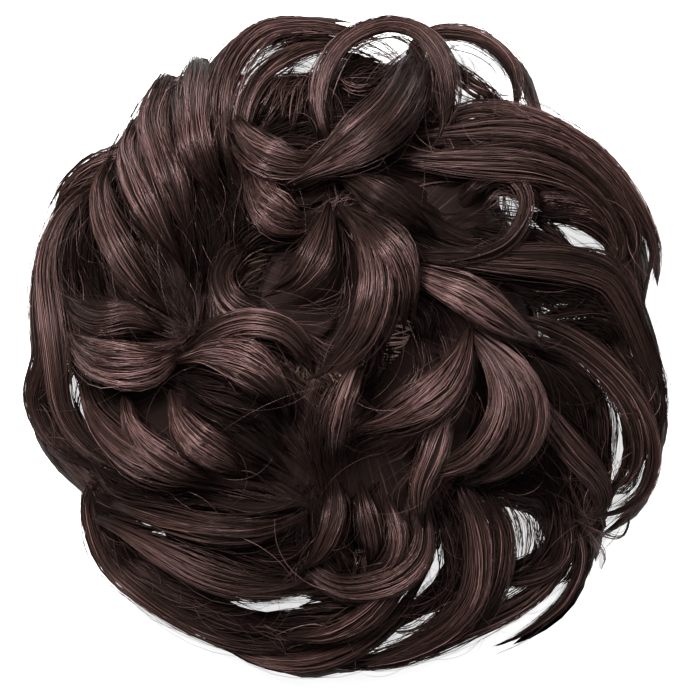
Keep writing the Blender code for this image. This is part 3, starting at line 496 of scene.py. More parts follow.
def pick(line: np.ndarray, share: np.ndarray) -> np.ndarray:
    """The places at given shares of a line's length."""
    run = run_of(line)
    return np.stack([np.interp(share * run[-1], run, line[:, k]) for k in range(line.shape[1])], axis=1)


def ring_shares(line: np.ndarray, longest: float = LONGEST_STEP) -> np.ndarray:
    """Where a tube along a line needs its rings: closer where it bends.

    Args:
        line: the line, as a fine row of places.
        longest: the longest step between rings, in millimetres.

    Returns:
        The rings' shares of the length, from 0 to 1.
    """
    ahead = unit(np.diff(line, axis=0))
    turn = np.arccos(np.clip((ahead[1:] * ahead[:-1]).sum(axis=1), -1, 1))
    run = run_of(line)
    need = run / longest + np.concatenate([[0], np.cumsum(turn), [turn.sum()]]) / SHARPEST_TURN
    count = max(FEWEST_RINGS, int(math.ceil(need[-1])) + 1)
    return np.interp(np.linspace(0, need[-1], count), need, run) / run[-1]


def reach_at(angle: float, column: str) -> float:
    """The reach in a direction, eased between the rows of its table.

    Args:
        angle: the direction in radians.
        column: roots or rim.

    Returns:
        The reach in millimetres.
    """
    place_in_table = (angle % math.tau) / math.tau * len(REACHES)
    here = int(place_in_table) % len(REACHES)
    share = place_in_table - int(place_in_table)
    share = share * share * (3 - 2 * share)
    near, far = (getattr(REACHES[i % len(REACHES)], column) for i in (here, here + 1))
    return near + (far - near) * share


def unit(rows: np.ndarray) -> np.ndarray:
    """The rows brought to length one."""
    return rows / np.maximum(np.linalg.norm(rows, axis=-1, keepdims=True), 1e-9)


@dataclass
class Spine:
    """The middle line of a lock and the directions beside and over it, ring by ring."""

    share: np.ndarray
    middle: np.ndarray
    side: np.ndarray
    up: np.ndarray
    width: np.ndarray
    depth: np.ndarray

    @staticmethod
    def along(share: np.ndarray, middle: np.ndarray, width: np.ndarray) -> "Spine":
        """A spine on a middle line, turned so that its face looks away from the dome.

        Args:
            share: how far along the lock each ring is, 0 to 1.
            middle: the middle line, one place a row, in millimetres.
            width: the lock's breadth at each place.

        Returns:
            The spine.
        """
        side, up = frames(middle)
        depth = np.minimum(np.clip(width * DEPTH_SHARE, LEAST_DEPTH, MOST_DEPTH), width * DEPTH_LIMIT)
        return Spine(share, middle, side, up, width, depth)

    @staticmethod
    def of_lock(lock: Lock, drop: float = 0.0, longest: float = LONGEST_STEP) -> "Spine":
        """The spine of a lock from its table.

        Args:
            lock: the lock.
            drop: how far to sink it, in millimetres.
            longest: the longest step between its rings, in millimetres.

        Returns:
            The spine.
        """
        line = curve_through(np.array(lock.path, dtype=float))
        share = ring_shares(line, longest)
        flat = pick(line, share)
        middle = np.column_stack([flat, dome_height(flat) + eased(lock.lift, share) - drop])
        return Spine.along(share, middle, eased(lock.width, share))

    @staticmethod
    def of_side_lock(kind: SideLocks, number: int) -> "Spine":
        """The spine of one of the locks round the side.

        Args:
            kind: the ring of locks.
            number: which of them.

        Returns:
            The spine.
        """
        start = math.tau * number / kind.count
        steps = len(kind.heights) - 1
        line = []
        for i, height in enumerate(kind.heights):
            share = i / steps
            angle = start + kind.turn * share
            far = reach_at(angle, kind.reach) + PAST_REACH - kind.width[1] / 2
            radius = kind.start + (far - kind.start) * math.sin(math.pi / 2 * min(share / OUT_BY, 1))
            line.append((radius * math.cos(angle), radius * math.sin(angle), height))
        curve = curve_through(np.array(line))
        share = ring_shares(curve)
        return Spine.along(share, pick(curve, share), eased(kind.width, share))


def frames(places: np.ndarray) -> tuple[np.ndarray, np.ndarray]:
    """The directions beside and over lines that lie on the dome.

    Args:
        places: the lines' places, with the places of one line along the last axis but one.

    Returns:
        The sideways and the upward directions.
    """
    ahead = unit(np.gradient(places, axis=-2))
    side = unit(np.cross(ahead, dome_normal(places[..., :2])))
    return side, unit(np.cross(side, ahead))


def raised(flat: np.ndarray, height: np.ndarray) -> np.ndarray:
    """Places on the ground with a height given to each."""
    return np.concatenate([flat, height[..., None]], axis=-1)


@dataclass
class Hairs:
    """Many hairs with the same number of places each: places, breadths and tone.

    Each hair becomes a thin tube, closed at both ends. Its tone mixes a random tone of its own with
    painted light and shade.
    """

    places: np.ndarray
    side: np.ndarray
    up: np.ndarray
    radius: np.ndarray
    tone: np.ndarray

    def only(self, keep: np.ndarray) -> "Hairs":
        """The hairs that are marked."""
        return Hairs(self.places[keep], self.side[keep], self.up[keep], self.radius[keep], self.tone[keep])

    def clear_of(self, gaps: tuple[Gap, ...]) -> "Hairs":
        """The hairs that cross none of the gaps, also between their rings."""
        flat = self.places[:, :, :2]
        flat = np.concatenate([flat, (flat[:, 1:] + flat[:, :-1]) / 2], axis=1)
        keep = np.ones(len(flat), dtype=bool)
        for gap in gaps:
            off = np.linalg.norm(flat - np.array([gap.x, gap.y]), axis=2)
            keep &= (off > gap.radius + 0.6 * self.radius.max(axis=1)[:, None]).all(axis=1)
        return self.only(keep)

    def dimmed(self, pits: tuple[Gap, ...]) -> "Hairs":
        """The same hairs with painted shade: darker where they cross the deep places."""
        tone = self.tone
        for pit in pits:
            off = np.linalg.norm(self.places[:, :, :2] - np.array([pit.x, pit.y]), axis=2)
            tone = tone * (1 - PIT_SHADE * np.clip(PIT_REACH - off / pit.radius, 0, 1))
        return Hairs(self.places, self.side, self.up, self.radius, tone)


class HairMesh:
    """Collects hairs and makes them one mesh object."""

    # How streaks differ from hair to hair, and how they run round one
    TONE_SHIFT = 37.0
    HAIR_SHIFT = 1.7
    STREAK_WIDTH = 1.6
    STREAK_SLANT = 0.3

    def __init__(self, name: str) -> None:
        """Starts an empty collection.

        Args:
            name: the name of the object to make.
        """
        self.name = name
        self.points: list[np.ndarray] = []
        self.quads: list[np.ndarray] = []
        self.ends: list[np.ndarray] = []
        self.tones: list[np.ndarray] = []
        self.quad_uv: list[np.ndarray] = []
        self.end_uv: list[np.ndarray] = []
        self.count = 0

    def add(self, hairs: Hairs, sides: int = HAIR_SIDES, flat: float = 1.0) -> None:
        """Adds hairs as closed tubes.

        Args:
            hairs: the hairs, all with the same number of places.
            sides: how many sides each tube has.
            flat: its thickness as a share of its breadth.
        """
        number, rings = hairs.places.shape[:2]
        if number == 0:
            return
        turns = math.pi / 2 + np.arange(sides) * math.tau / sides
        around = (np.cos(turns)[None, None, :, None] * hairs.side[:, :, None, :]
                  + np.sin(turns)[None, None, :, None] * hairs.up[:, :, None, :] * flat)
        points = hairs.places[:, :, None, :] + around * hairs.radius[:, :, None, None]
        index = self.count + np.arange(number * rings * sides).reshape(number, rings, sides)
        a, b = index[:, :-1], index[:, 1:]
        quads = np.stack([a, np.roll(a, -1, axis=2), np.roll(b, -1, axis=2), b], axis=-1)
        flow = np.linalg.norm(np.diff(hairs.places, axis=1), axis=2).cumsum(axis=1)
        flow = np.concatenate([np.zeros((number, 1)), flow], axis=1)
        across = hairs.tone[:, :1, None] * self.TONE_SHIFT + np.arange(number)[:, None, None] * self.HAIR_SHIFT
        width = hairs.radius.max(axis=1)[:, None, None]
        bend = np.cos(turns) * self.STREAK_WIDTH + np.sin(turns) * self.STREAK_SLANT
        u = across + bend[None, None] * width + np.zeros((1, rings, 1))
        v = np.broadcast_to(flow[:, :, None], (number, rings, sides))
        uv = np.stack([u, v], axis=-1)
        flat_uv = uv.reshape(-1, 2)
        self.points.append(points.reshape(-1, 3))
        self.quads.append(quads.reshape(-1, 4))
        fans = [(0, k, k + 1) for k in range(1, sides - 1)]
        self.ends.append(np.concatenate([index[:, 0, fan[::-1]] for fan in fans]
                                        + [index[:, -1, fan] for fan in fans]))
        self.quad_uv.append(flat_uv[quads.reshape(-1, 4) - self.count])
        self.end_uv.append(flat_uv[self.ends[-1] - self.count])
        self.tones.append(np.repeat(hairs.tone.ravel(), sides))
        self.count += number * rings * sides

    def make(self, material: bpy.types.Material, *nodes: str) -> bpy.types.Object:
        """Makes the mesh object, rides it on the root and puts it in place of CAD nodes.

        Args:
            material: its finish.
            nodes: the CAD nodes that it stands for.

        Returns:
            The object.
        """
        quads, ends = np.concatenate(self.quads), np.concatenate(self.ends)
        mesh = bpy.data.meshes.new(self.name)
        mesh.vertices.add(self.count)
        points = np.concatenate(self.points)
        points[:, 2] = np.maximum(points[:, 2], FLOOR_CLEARANCE)
        mesh.vertices.foreach_set("co", (points * MM).ravel())
        mesh.loops.add(quads.size + ends.size)
        mesh.loops.foreach_set("vertex_index", np.concatenate([quads.ravel(), ends.ravel()]))
        mesh.polygons.add(len(quads) + len(ends))
        starts = np.concatenate([np.arange(len(quads)) * 4, quads.size + np.arange(len(ends)) * 3])
        mesh.polygons.foreach_set("loop_start", starts)
        mesh.polygons.foreach_set("use_smooth", np.ones(len(quads) + len(ends), dtype=bool))
        layer = mesh.uv_layers.new(name="strand")
        uv = np.concatenate([np.concatenate(self.quad_uv).reshape(-1, 2),
                             np.concatenate(self.end_uv).reshape(-1, 2)])
        layer.uv.foreach_set("vector", uv.ravel())
        tone = mesh.attributes.new("tone", "FLOAT", "POINT")
        tone.data.foreach_set("value", np.concatenate(self.tones))
        mesh.update(calc_edges=True)
        mesh.validate()
        return place(self.name, mesh, material, *nodes)


def place(name: str, mesh: bpy.types.Mesh, material: bpy.types.Material, *nodes: str) -> bpy.types.Object:
    """Puts a finished mesh in the scene as a piece of the hairpiece.

    Args:
        name: the piece's name.
        mesh: its mesh, in metres, in place.
        material: its finish.
        nodes: the CAD nodes that it stands for.

    Returns:
        The object.
    """
    piece = bpy.data.objects.new(name, mesh)
    bpy.context.scene.collection.objects.link(piece)
    mesh.materials.append(material)
    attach(piece, "root")
    if nodes:
        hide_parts(*nodes)
    log.info("%s: %d triangles", name, sum(p.loop_total - 2 for p in mesh.polygons))
    return piece


def place_built(name: str, bm: bmesh.types.BMesh, material: bpy.types.Material, node: str) -> bpy.types.Object:
    """Puts a mesh that is still being built in the scene as a piece, and frees it.

    Args:
        name: the piece's name.
        bm: its mesh, in metres, with one UV map and a tone for each point.
        material: its finish.
        node: the CAD node that it stands for.

    Returns:
        The object.
    """
    mesh = bpy.data.meshes.new(name)
    bm.to_mesh(mesh)
    bm.free()
    mesh.uv_layers[0].name = "strand"
    return place(name, mesh, material, node)


def turned(section: tuple[tuple[float, float], ...], steps: int, closed: bool = True) -> bmesh.types.BMesh:
    """A section turned all the way round the upright axis.

    Args:
        section: its corners, each as how far out and how high it is.
        steps: how many steps the turn has.
        closed: whether its last corner is joined to its first.

    Returns:
        The mesh.
    """
    bm = bmesh.new()
    line = [bm.verts.new((out, 0, up)) for out, up in section]
    edges = [bm.edges.new(pair) for pair in zip(line, line[1:] + (line[:1] if closed else []))]
    bmesh.ops.spin(bm, geom=[*line, *edges], cent=(0, 0, 0), axis=(0, 0, 1), angle=math.tau,
                   steps=steps, use_merge=True)
    return bm


@dataclass
class LockDresser:
    """Fills locks with hair: wisps that keep together, and hairs in each that wander a little.

    Sizes are in millimetres. Hairs for each millimetre of breadth is how thick the lock is,
    wander how far a hair strays from its wisp, fray how far the wisps part at the tip, spill how
    far the hairs go past the lock's edge and sink how far below its top they lie, the last two
    as shares of its section.
    """

    hairs_per_mm: float = 12.5
    thickness: float = 0.085
    wisp_width: float = 1.2
    wander: float = 0.2
    fray: float = 0.75
    spill: float = 1.0
    sink: float = 0.0

    FEWEST_WISPS = 3
    FEWEST_HAIRS = 6
    # Where the wisps sit and how they drift, as shares of the lock's half breadth
    EDGE_WISP = 0.88
    WISP_JITTER = 0.1
    WISP_DRIFT = 0.13
    WISP_RISE = 0.12
    WISP_SHARE = 0.95
    HAIR_SPREAD = 0.8
    RIDGE = 0.12
    RISE_SHARE = 0.6
    # How deep hairs are buried: the shape of the spread, and its greatest share
    BURIED_SHAPE = (1.0, 2.2)
    MOST_BURIED = 1.35
    # How far along the lock it is gathered at its root, and where its wisps begin to part
    GATHER_RUN = 0.25
    TIP_FROM = 0.72
    TIP_NARROWER = 0.55
    TIP_FLATTER = 0.5
    # How much shorter wisps and hairs are than the lock, and how late hairs begin, in millimetres
    WISP_SHORTER = 0.16
    HAIR_SHORTER = 0.3
    LATEST_START = 1.6
    TAPER_FROM = 0.7
    TAPER = 0.55
    # How much darker or lighter hair is painted where it is buried, and at the lock's root and crest:
    # the share of the lock's painted light, the painted highlight at its crest and the painted shade at its root
    LIGHT_SHARE = 0.75
    CREST_AT = 0.45
    CREST_WIDTH = 0.3
    CREST_LIGHT = 0.36
    ROOT_RUN = 0.16
    ROOT_SHADE = 0.4

    def hairs(self, lock: Lock, spine: Spine, rng: np.random.Generator) -> Hairs:
        """The hairs of one lock.

        Args:
            lock: the lock, for how bright and loose it is.
            spine: its middle line.
            rng: the source of chance.

        Returns:
            The hairs, from root to tip.
        """
        along = spine.share
        wisps = max(self.FEWEST_WISPS, int(round(spine.width.max() / self.wisp_width)))
        number = max(self.FEWEST_HAIRS, int(spine.width.max() * self.hairs_per_mm))
        # Where each wisp sits in the lock's section, and how it drifts along it
        centre = np.linspace(-self.EDGE_WISP, self.EDGE_WISP, wisps)
        centre = centre + rng.uniform(-self.WISP_JITTER, self.WISP_JITTER, wisps)
        drift = self.wave(rng, wisps, along, self.WISP_DRIFT * lock.loose)
        rise = self.wave(rng, wisps, along, self.WISP_RISE * lock.loose)
        reach = 1 - rng.uniform(0.0, self.WISP_SHORTER, wisps) * lock.loose
        of_wisp = rng.integers(0, wisps, number)
        spread = self.WISP_SHARE / wisps
        inside = rng.normal(0, self.HAIR_SPREAD, number) * spread
        across = (centre[of_wisp, None] + inside[:, None]) * self.spill + drift[of_wisp]
        across = across + self.wave(rng, number, along, self.wander * 0.5)
        crown = np.sqrt(np.clip(1 - across**2, 0.0, 1.0))
        # Most hairs lie near the top of the section, a few under it, and each wisp is a ridge
        under = rng.beta(*self.BURIED_SHAPE, number) * self.MOST_BURIED
        off_ridge = np.clip(np.abs(inside) / spread, 0, 1.3) ** 2
        over = crown * (1 - under)[:, None] + self.RIDGE * (1 - off_ridge)[:, None]
        over = over + rise[of_wisp] * self.RISE_SHARE
        over = over + self.wave(rng, number, along, self.wander * 0.5) - self.sink
        # The lock is gathered at its root and its wisps part at its tip
        gather = 0.5 + 0.5 * np.clip(along / self.GATHER_RUN, 0, 1)
        tip = np.clip((along - self.TIP_FROM) / (1 - self.TIP_FROM), 0, 1)
        half_width = spine.width / 2 * gather * (1 - self.TIP_NARROWER * tip**1.3)
        half_depth = spine.depth / 2 * (0.6 + 0.4 * gather) * (1 - self.TIP_FLATTER * tip)
        split = rng.normal(0, self.fray * 2.2, wisps)[of_wisp, None] + rng.normal(0, 0.45, number)[:, None]
        sideways = across * half_width + split * tip**2 * lock.loose
        upward = over * half_depth + np.abs(rng.normal(0, 0.25, number))[:, None] * tip**2 * lock.loose
        places = (spine.middle[None] + sideways[..., None] * spine.side[None]
                  + upward[..., None] * spine.up[None])
        begin = rng.uniform(0, self.LATEST_START, number) + spine.width[0] * 0.5 * (1 - crown[:, 0])
        begin = begin / run_of(spine.middle)[-1]
        ends = reach[of_wisp] * (1 - rng.beta(1, 5, number) * self.HAIR_SHORTER)
        places = self.shorten(places, begin, ends)
        thick = self.thickness * rng.uniform(0.72, 1.25, number)
        taper = 1.0 - self.TAPER * np.clip((along - self.TAPER_FROM) / (1 - self.TAPER_FROM), 0, 1)
        # Painted light and shade: hair is painted darker where it is buried, in the lock, between wisps,
        # at the edges and the root, and lighter at the lock's crest, over the lock's painted light and
        # a random tone for each wisp and hair
        tone = lock.light * self.LIGHT_SHARE + rng.normal(0, 0.06, wisps)[of_wisp] + rng.normal(0, 0.26, number)
        tone = (tone - 0.3 * under - 0.1 * off_ridge)[:, None] - 0.14 * across**2
        crest_at = self.CREST_AT + rng.normal(0, 0.05, wisps)[of_wisp, None]
        crest = np.exp(-(((along - crest_at) / self.CREST_WIDTH) ** 2))
        tone = tone - self.ROOT_SHADE * np.clip(1 - along / self.ROOT_RUN, 0, 1) + self.CREST_LIGHT * crest - 0.1
        return Hairs(places, np.broadcast_to(spine.side, places.shape), np.broadcast_to(spine.up, places.shape),
                     thick[:, None] * taper[None], np.clip(tone, 0, 1))

    @staticmethod
    def wave(rng: np.random.Generator, number: int, along: np.ndarray, size: float) -> np.ndarray:
        """Slow random waves.

        Args:
            rng: the source of chance.
            number: how many waves.
            along: the shares of the length to give them at.
            size: how far they swing.

        Returns:
            One wave a row.
        """
        total = np.zeros((number, len(along)))
        for turns in (0.6, 1.4):
            start = rng.uniform(0, math.tau, number)[:, None]
            speed = turns * rng.uniform(0.6, 1.3, number)[:, None]
            total += np.sin(start + math.tau * speed * along[None]) * size / math.sqrt(turns + 0.4)
        return total

    @staticmethod
    def shorten(places: np.ndarray, begin: np.ndarray, ends: np.ndarray) -> np.ndarray:
        """Hairs cut at shares of their length, with as many places as before.

        Args:
            places: the hairs' places.
            begin: the share of its length at which each begins.
            ends: the share of its length at which each ends.

        Returns:
            The new places.
        """
        rings = places.shape[1]
        at = (begin[:, None] + np.linspace(0, 1, rings)[None] * (ends - begin)[:, None]) * (rings - 1)
        low = np.minimum(at.astype(int), rings - 2)
        part = (at - low)[..., None]
        rows = np.arange(len(places))[:, None]
        return places[rows, low] * (1 - part) + places[rows, low + 1] * part


@dataclass(frozen=True)
class HairFinish:
    """The finish of hair: three colours from shade to glint, which its tone picks from, so that they paint its
    light and shade as well as its own tone, and how it shines.

    Streak is how strongly its streaks show, relief how deep they are in millimetres, and tint
    the colour of its shine.
    """

    name: str
    shade: tuple[float, float, float]
    body: tuple[float, float, float]
    glint: tuple[float, float, float]
    roughness: float = 0.42
    specular: float = 0.5
    streak: float = 0.35
    relief: float = 0.0
    tint: tuple[float, float, float] = (1.0, 0.66, 0.64)

    def build(self, group: bpy.types.NodeTree) -> bpy.types.Material:
        """Makes the material.

        Args:
            group: the shared streak group.

        Returns:
            The material.
        """
        made = bpy.data.materials.new(self.name)
        made.use_nodes = True
        tree = made.node_tree
        shader = tree.nodes["Principled BSDF"]
        shader.inputs["IOR"].default_value = HAIR_IOR
        shader.inputs["Specular Tint"].default_value = (*self.tint, 1)
        streaks = tree.nodes.new("ShaderNodeGroup")
        streaks.node_tree = group
        for socket, value in (("Shade", self.shade), ("Body", self.body), ("Glint", self.glint)):
            streaks.inputs[socket].default_value = (*value, 1)
        streaks.inputs["Streak"].default_value = self.streak
        streaks.inputs["Rough"].default_value = self.roughness
        streaks.inputs["Specular"].default_value = self.specular
        tree.links.new(streaks.outputs["Color"], shader.inputs["Base Color"])
        tree.links.new(streaks.outputs["Roughness"], shader.inputs["Roughness"])
        tree.links.new(streaks.outputs["Gloss"], shader.inputs["Specular IOR Level"])
        if self.relief > 0:
            bump = tree.nodes.new("ShaderNodeBump")
            bump.inputs["Strength"].default_value = 1.0
            bump.inputs["Distance"].default_value = self.relief * MM
            tree.links.new(streaks.outputs["Height"], bump.inputs["Height"])
            tree.links.new(bump.outputs["Normal"], shader.inputs["Normal"])
        return made


WEFT = HairFinish("sewn_weft", (0.006, 0.0038, 0.0026), (0.075, 0.047, 0.036), (0.42, 0.28, 0.235), 0.6, 0.12,
                  tint=(1.0, 0.82, 0.72))
ELASTIC = HairFinish("woven_elastic", (0.004, 0.0035, 0.0035), (0.016, 0.014, 0.0135), (0.05, 0.045, 0.043),
                     0.75, 0.2, tint=(1.0, 1.0, 1.0))
HAIR = HairFinish("silky_hair", (0.0115, 0.007, 0.0056), (0.046, 0.022, 0.018), (0.265, 0.152, 0.144), 0.34, 0.54)
# Darker copies of the hair's finish for hair that lies deep or underneath: painted shade
CORE = HairFinish("shaded_packed_hair", (0.0075, 0.0048, 0.004), (0.016, 0.009, 0.0078), (0.055, 0.031, 0.029),
                  0.6, 0.06, 0.9, 0.12)
UNDER = HairFinish("shaded_under_hair", (0.0075, 0.0048, 0.004), (0.021, 0.0116, 0.01), (0.085, 0.048, 0.044),
                   0.5, 0.12, 1.0, 0.15)


# The scale of the streaks across and along the hair, fine and slow, and how they show
FINE_STREAKS = (4.2, 0.03)
SLOW_STREAKS = (0.9, 0.06)
STREAK_FROM = 0.56
STREAK_GAIN = 5.0
STREAK_MEAN = 0.18
SWELL = 0.5
# How tone becomes colour, from shade through body to glint, and how much of the gloss it lets show,
# so that painted shade dims the shine too
BODY_GAIN = 1.8
GLINT_FROM = 0.6
GLINT_GAIN = 2.2
UNEVEN_SHINE = 0.12
GLOSS_GAIN = 2.4
GLOSS_LEAST = 0.12
# Where a colour mix has its share and its two colours, and its result
MIX_INPUTS = (0, 6, 7)
MIX_RESULT = 2


def build_streak_group() -> bpy.types.NodeTree:
    """The shared group that streaks hair along its length and colours it by its tone."""
    group = bpy.data.node_groups.new("hair_streaks", "ShaderNodeTree")
    face = group.interface
    for name, kind in (("Shade", "Color"), ("Body", "Color"), ("Glint", "Color"), ("Streak", "Float"),
                       ("Rough", "Float"), ("Specular", "Float")):
        face.new_socket(name, in_out="INPUT", socket_type=f"NodeSocket{kind}")
    for name, kind in (("Color", "Color"), ("Roughness", "Float"), ("Height", "Float"), ("Gloss", "Float")):
        face.new_socket(name, in_out="OUTPUT", socket_type=f"NodeSocket{kind}")
    nodes, links = group.nodes, group.links
    inputs, outputs = nodes.new("NodeGroupInput"), nodes.new("NodeGroupOutput")
    uv = nodes.new("ShaderNodeUVMap")
    uv.uv_map = "strand"
    tone = nodes.new("ShaderNodeAttribute")
    tone.attribute_name = "tone"

    def noise(scale: tuple[float, float], detail: float) -> bpy.types.NodeSocket:
        """A noise drawn out along the hair, with its scale across and along it."""
        mapping = nodes.new("ShaderNodeMapping")
        mapping.inputs["Scale"].default_value = (scale[0], scale[1], 1)
        made = nodes.new("ShaderNodeTexNoise")
        made.noise_dimensions = "2D"
        made.inputs["Scale"].default_value = 1.0
        made.inputs["Detail"].default_value = detail
        links.new(uv.outputs["UV"], mapping.inputs["Vector"])
        links.new(mapping.outputs["Vector"], made.inputs["Vector"])
        return made.outputs["Fac"]

    def math_node(operation: str, a: bpy.types.NodeSocket | float, b: bpy.types.NodeSocket | float,
                  clamp: bool = False) -> bpy.types.NodeSocket:
        """A sum, product or other function of two values."""
        made = nodes.new("ShaderNodeMath")
        made.operation = operation
        made.use_clamp = clamp
        for socket, value in zip(made.inputs, (a, b)):
            if isinstance(value, bpy.types.NodeSocket):
                links.new(value, socket)
            else:
                socket.default_value = value
        return made.outputs[0]

    def mix(share: bpy.types.NodeSocket, a: bpy.types.NodeSocket, b: bpy.types.NodeSocket) -> bpy.types.NodeSocket:
        """A colour between two others."""
        made = nodes.new("ShaderNodeMix")
        made.data_type = "RGBA"
        for place_of_input, socket in zip(MIX_INPUTS, (share, a, b)):
            links.new(socket, made.inputs[place_of_input])
        return made.outputs[MIX_RESULT]

    fine, slow = noise(FINE_STREAKS, 2.0), noise(SLOW_STREAKS, 1.0)
    lines = math_node("MULTIPLY", math_node("SUBTRACT", fine, STREAK_FROM, clamp=True), STREAK_GAIN)
    swing = math_node("MULTIPLY", math_node("SUBTRACT", lines, STREAK_MEAN), inputs.outputs["Streak"])
    swell = math_node("MULTIPLY", math_node("SUBTRACT", slow, 0.5), SWELL)
    level = math_node("ADD", math_node("ADD", tone.outputs["Fac"], swing), swell, clamp=True)
    low = math_node("MULTIPLY", level, BODY_GAIN, clamp=True)
    high = math_node("MULTIPLY", math_node("SUBTRACT", level, GLINT_FROM), GLINT_GAIN, clamp=True)
    # The tone, which holds painted light and shade besides each hair's own tone, picks the colour from shade
    # through body to glint
    colour = mix(high, mix(low, inputs.outputs["Shade"], inputs.outputs["Body"]), inputs.outputs["Glint"])
    links.new(colour, outputs.inputs["Color"])
    uneven = math_node("MULTIPLY", math_node("SUBTRACT", fine, 0.5), UNEVEN_SHINE)
    links.new(math_node("ADD", inputs.outputs["Rough"], uneven), outputs.inputs["Roughness"])
    links.new(fine, outputs.inputs["Height"])
    # Low tone, as where shade is painted, also dims the gloss
    bright = math_node("ADD", math_node("MULTIPLY", tone.outputs["Fac"], GLOSS_GAIN), GLOSS_LEAST, clamp=True)
    links.new(math_node("MULTIPLY", bright, inputs.outputs["Specular"]), outputs.inputs["Gloss"])
    return group


@dataclass
class LockCore:
    """The close-packed inside of a lock, which its loose hairs lie on.

    It is a share of the lock's breadth and depth, lies this much lower, in millimetres, and has a
    share of the lock's painted light.
    """

    sides: int = 10
    width_share: float = 0.8
    depth_share: float = 0.72
    drop: float = 0.4
    light: float = 0.4

    # How its ends narrow: the share at the very end, and how fast it widens, at root and tip
    ROOT_END = (0.4, 2.4)
    TIP_END = (0.1, 2.6)
    # Painted shade at its root: how dark its root is, and how fast it becomes lighter
    ROOT_TONE = (0.2, 4.0)
    # How far its streaks are stretched round it, and how they differ from core to core
    STREAK_STEP = 1.6
    STREAK_SHIFT = 13.0

    def add_to(self, bm: bmesh.types.BMesh, spine: Spine, tone: float) -> None:
        """Adds the core of one lock to a mesh.

        Args:
            bm: the mesh, in metres.
            spine: the lock's middle line.
            tone: how bright it is, 0 to 1.
        """
        uv_layer = bm.loops.layers.uv.verify()
        tone_layer = bm.verts.layers.float.get("tone") or bm.verts.layers.float.new("tone")
        count = len(spine.middle)
        end = np.ones(count)
        for (least, gain), share in ((self.ROOT_END, spine.share), (self.TIP_END, 1 - spine.share)):
            end = end * np.clip(least + gain * share, 0, 1)
        flow = run_of(spine.middle)
        turns = np.linspace(0, math.tau, self.sides, endpoint=False)
        rings = []
        for i in range(count):
            half_width = spine.width[i] / 2 * self.width_share * end[i]
            half_depth = spine.depth[i] / 2 * self.depth_share * end[i]
            ring = []
            for turn in turns:
                spot = (spine.middle[i] + spine.side[i] * half_width * math.cos(turn)
                        + spine.up[i] * half_depth * math.sin(turn))
                vert = bm.verts.new(Vector(spot) * MM)
                vert[tone_layer] = tone * min(self.ROOT_TONE[0] + self.ROOT_TONE[1] * spine.share[i], 1.0)
                ring.append(vert)
            rings.append(ring)
        step = spine.width.max() * self.STREAK_STEP / self.sides
        for i in range(count - 1):
            for k in range(self.sides):
                j = (k + 1) % self.sides
                face = bm.faces.new((rings[i][k], rings[i][j], rings[i + 1][j], rings[i + 1][k]))
                face.smooth = True
                for loop, (u, v) in zip(face.loops, ((k, i), (k + 1, i), (k + 1, i + 1), (k, i + 1))):
                    loop[uv_layer].uv = (u * step + tone * self.STREAK_SHIFT, flow[v])
        bm.faces.new(rings[0][::-1])
        bm.faces.new(rings[-1])


@dataclass
class RootMat:
    """A ring of close-packed roots round the weft, turned from its section.

    Each row of the section is how far it is from the weft (0) to the end of the roots (1) or to
    the middle of the loop (-1), and its height as a share of the dome's there. It is turned this
    far away from its axis, then fitted. Hair turn and run stretch the streaks round and along.
    """

    name: str
    node: str
    section: tuple[tuple[float, float], ...]
    inside: float = 21.25
    steps: int = 96
    capped: bool = False
    axis_away: float = 2.0
    hair_turn: float = 14.0
    hair_run: float = 30.0
    tone: float = 0.3
    fits: int = 12

    def span(self, way: Vector) -> float:
        """How far the roots reach from the middle of the loop in one direction, in millimetres."""
        span = self.inside
        for _ in range(self.fits):
            x, y = LOOP_X + way.x * span, LOOP_Y + way.y * span
            span += reach_at(math.atan2(y, x), "roots") - math.hypot(x, y)
        return span

    def build(self, material: bpy.types.Material) -> bpy.types.Object:
        """Turns the section round the loop and fits it to the reach of the roots.

        Args:
            material: its finish.

        Returns:
            The piece.
        """
        section = tuple((self.axis_away + out, height) for out, height in self.section)
        bm = turned(section, self.steps, not self.capped)
        uv_layer, tone_layer = bm.loops.layers.uv.verify(), bm.verts.layers.float.new("tone")
        bmesh.ops.subdivide_edges(bm, edges=[e for e in bm.edges if self.is_meridian(e)], cuts=2)
        if self.capped:
            bmesh.ops.holes_fill(bm, edges=[e for e in bm.edges if e.is_boundary], sides=0)
        bmesh.ops.recalc_face_normals(bm, faces=bm.faces)
        for face in bm.faces:
            face.smooth = True
            for loop in face.loops:
                spot = loop.vert.co
                turn = math.atan2(spot.y, spot.x)
                middle = face.calc_center_median()
                if abs(turn - math.atan2(middle.y, middle.x)) > math.pi:
                    turn += math.copysign(math.tau, -turn)
                loop[uv_layer].uv = (turn * self.hair_turn, (math.hypot(spot.x, spot.y) + spot.z) * self.hair_run)
        for vert in bm.verts:
            vert[tone_layer] = self.tone
            far = math.hypot(vert.co.x, vert.co.y)
            out = far - self.axis_away
            way = Vector((vert.co.x / max(far, TINY), vert.co.y / max(far, TINY), 0))
            reach = self.inside + ((self.span(way) - self.inside) * out if out > 0 else self.inside * out)
            x, y = LOOP_X + way.x * reach, LOOP_Y + way.y * reach
            z = float(dome_height(np.array([x, y]))) * vert.co.z
            vert.co = Vector((x, y, z)) * MM
        return place_built(self.name, bm, material, self.node)

    @staticmethod
    def is_meridian(edge: bmesh.types.BMEdge) -> bool:
        """Whether an edge runs along the section and not round the loop."""
        a, b = edge.verts
        return abs(math.hypot(a.co.x, a.co.y) - math.hypot(b.co.x, b.co.y)) + abs(a.co.z - b.co.z) > 1e-4


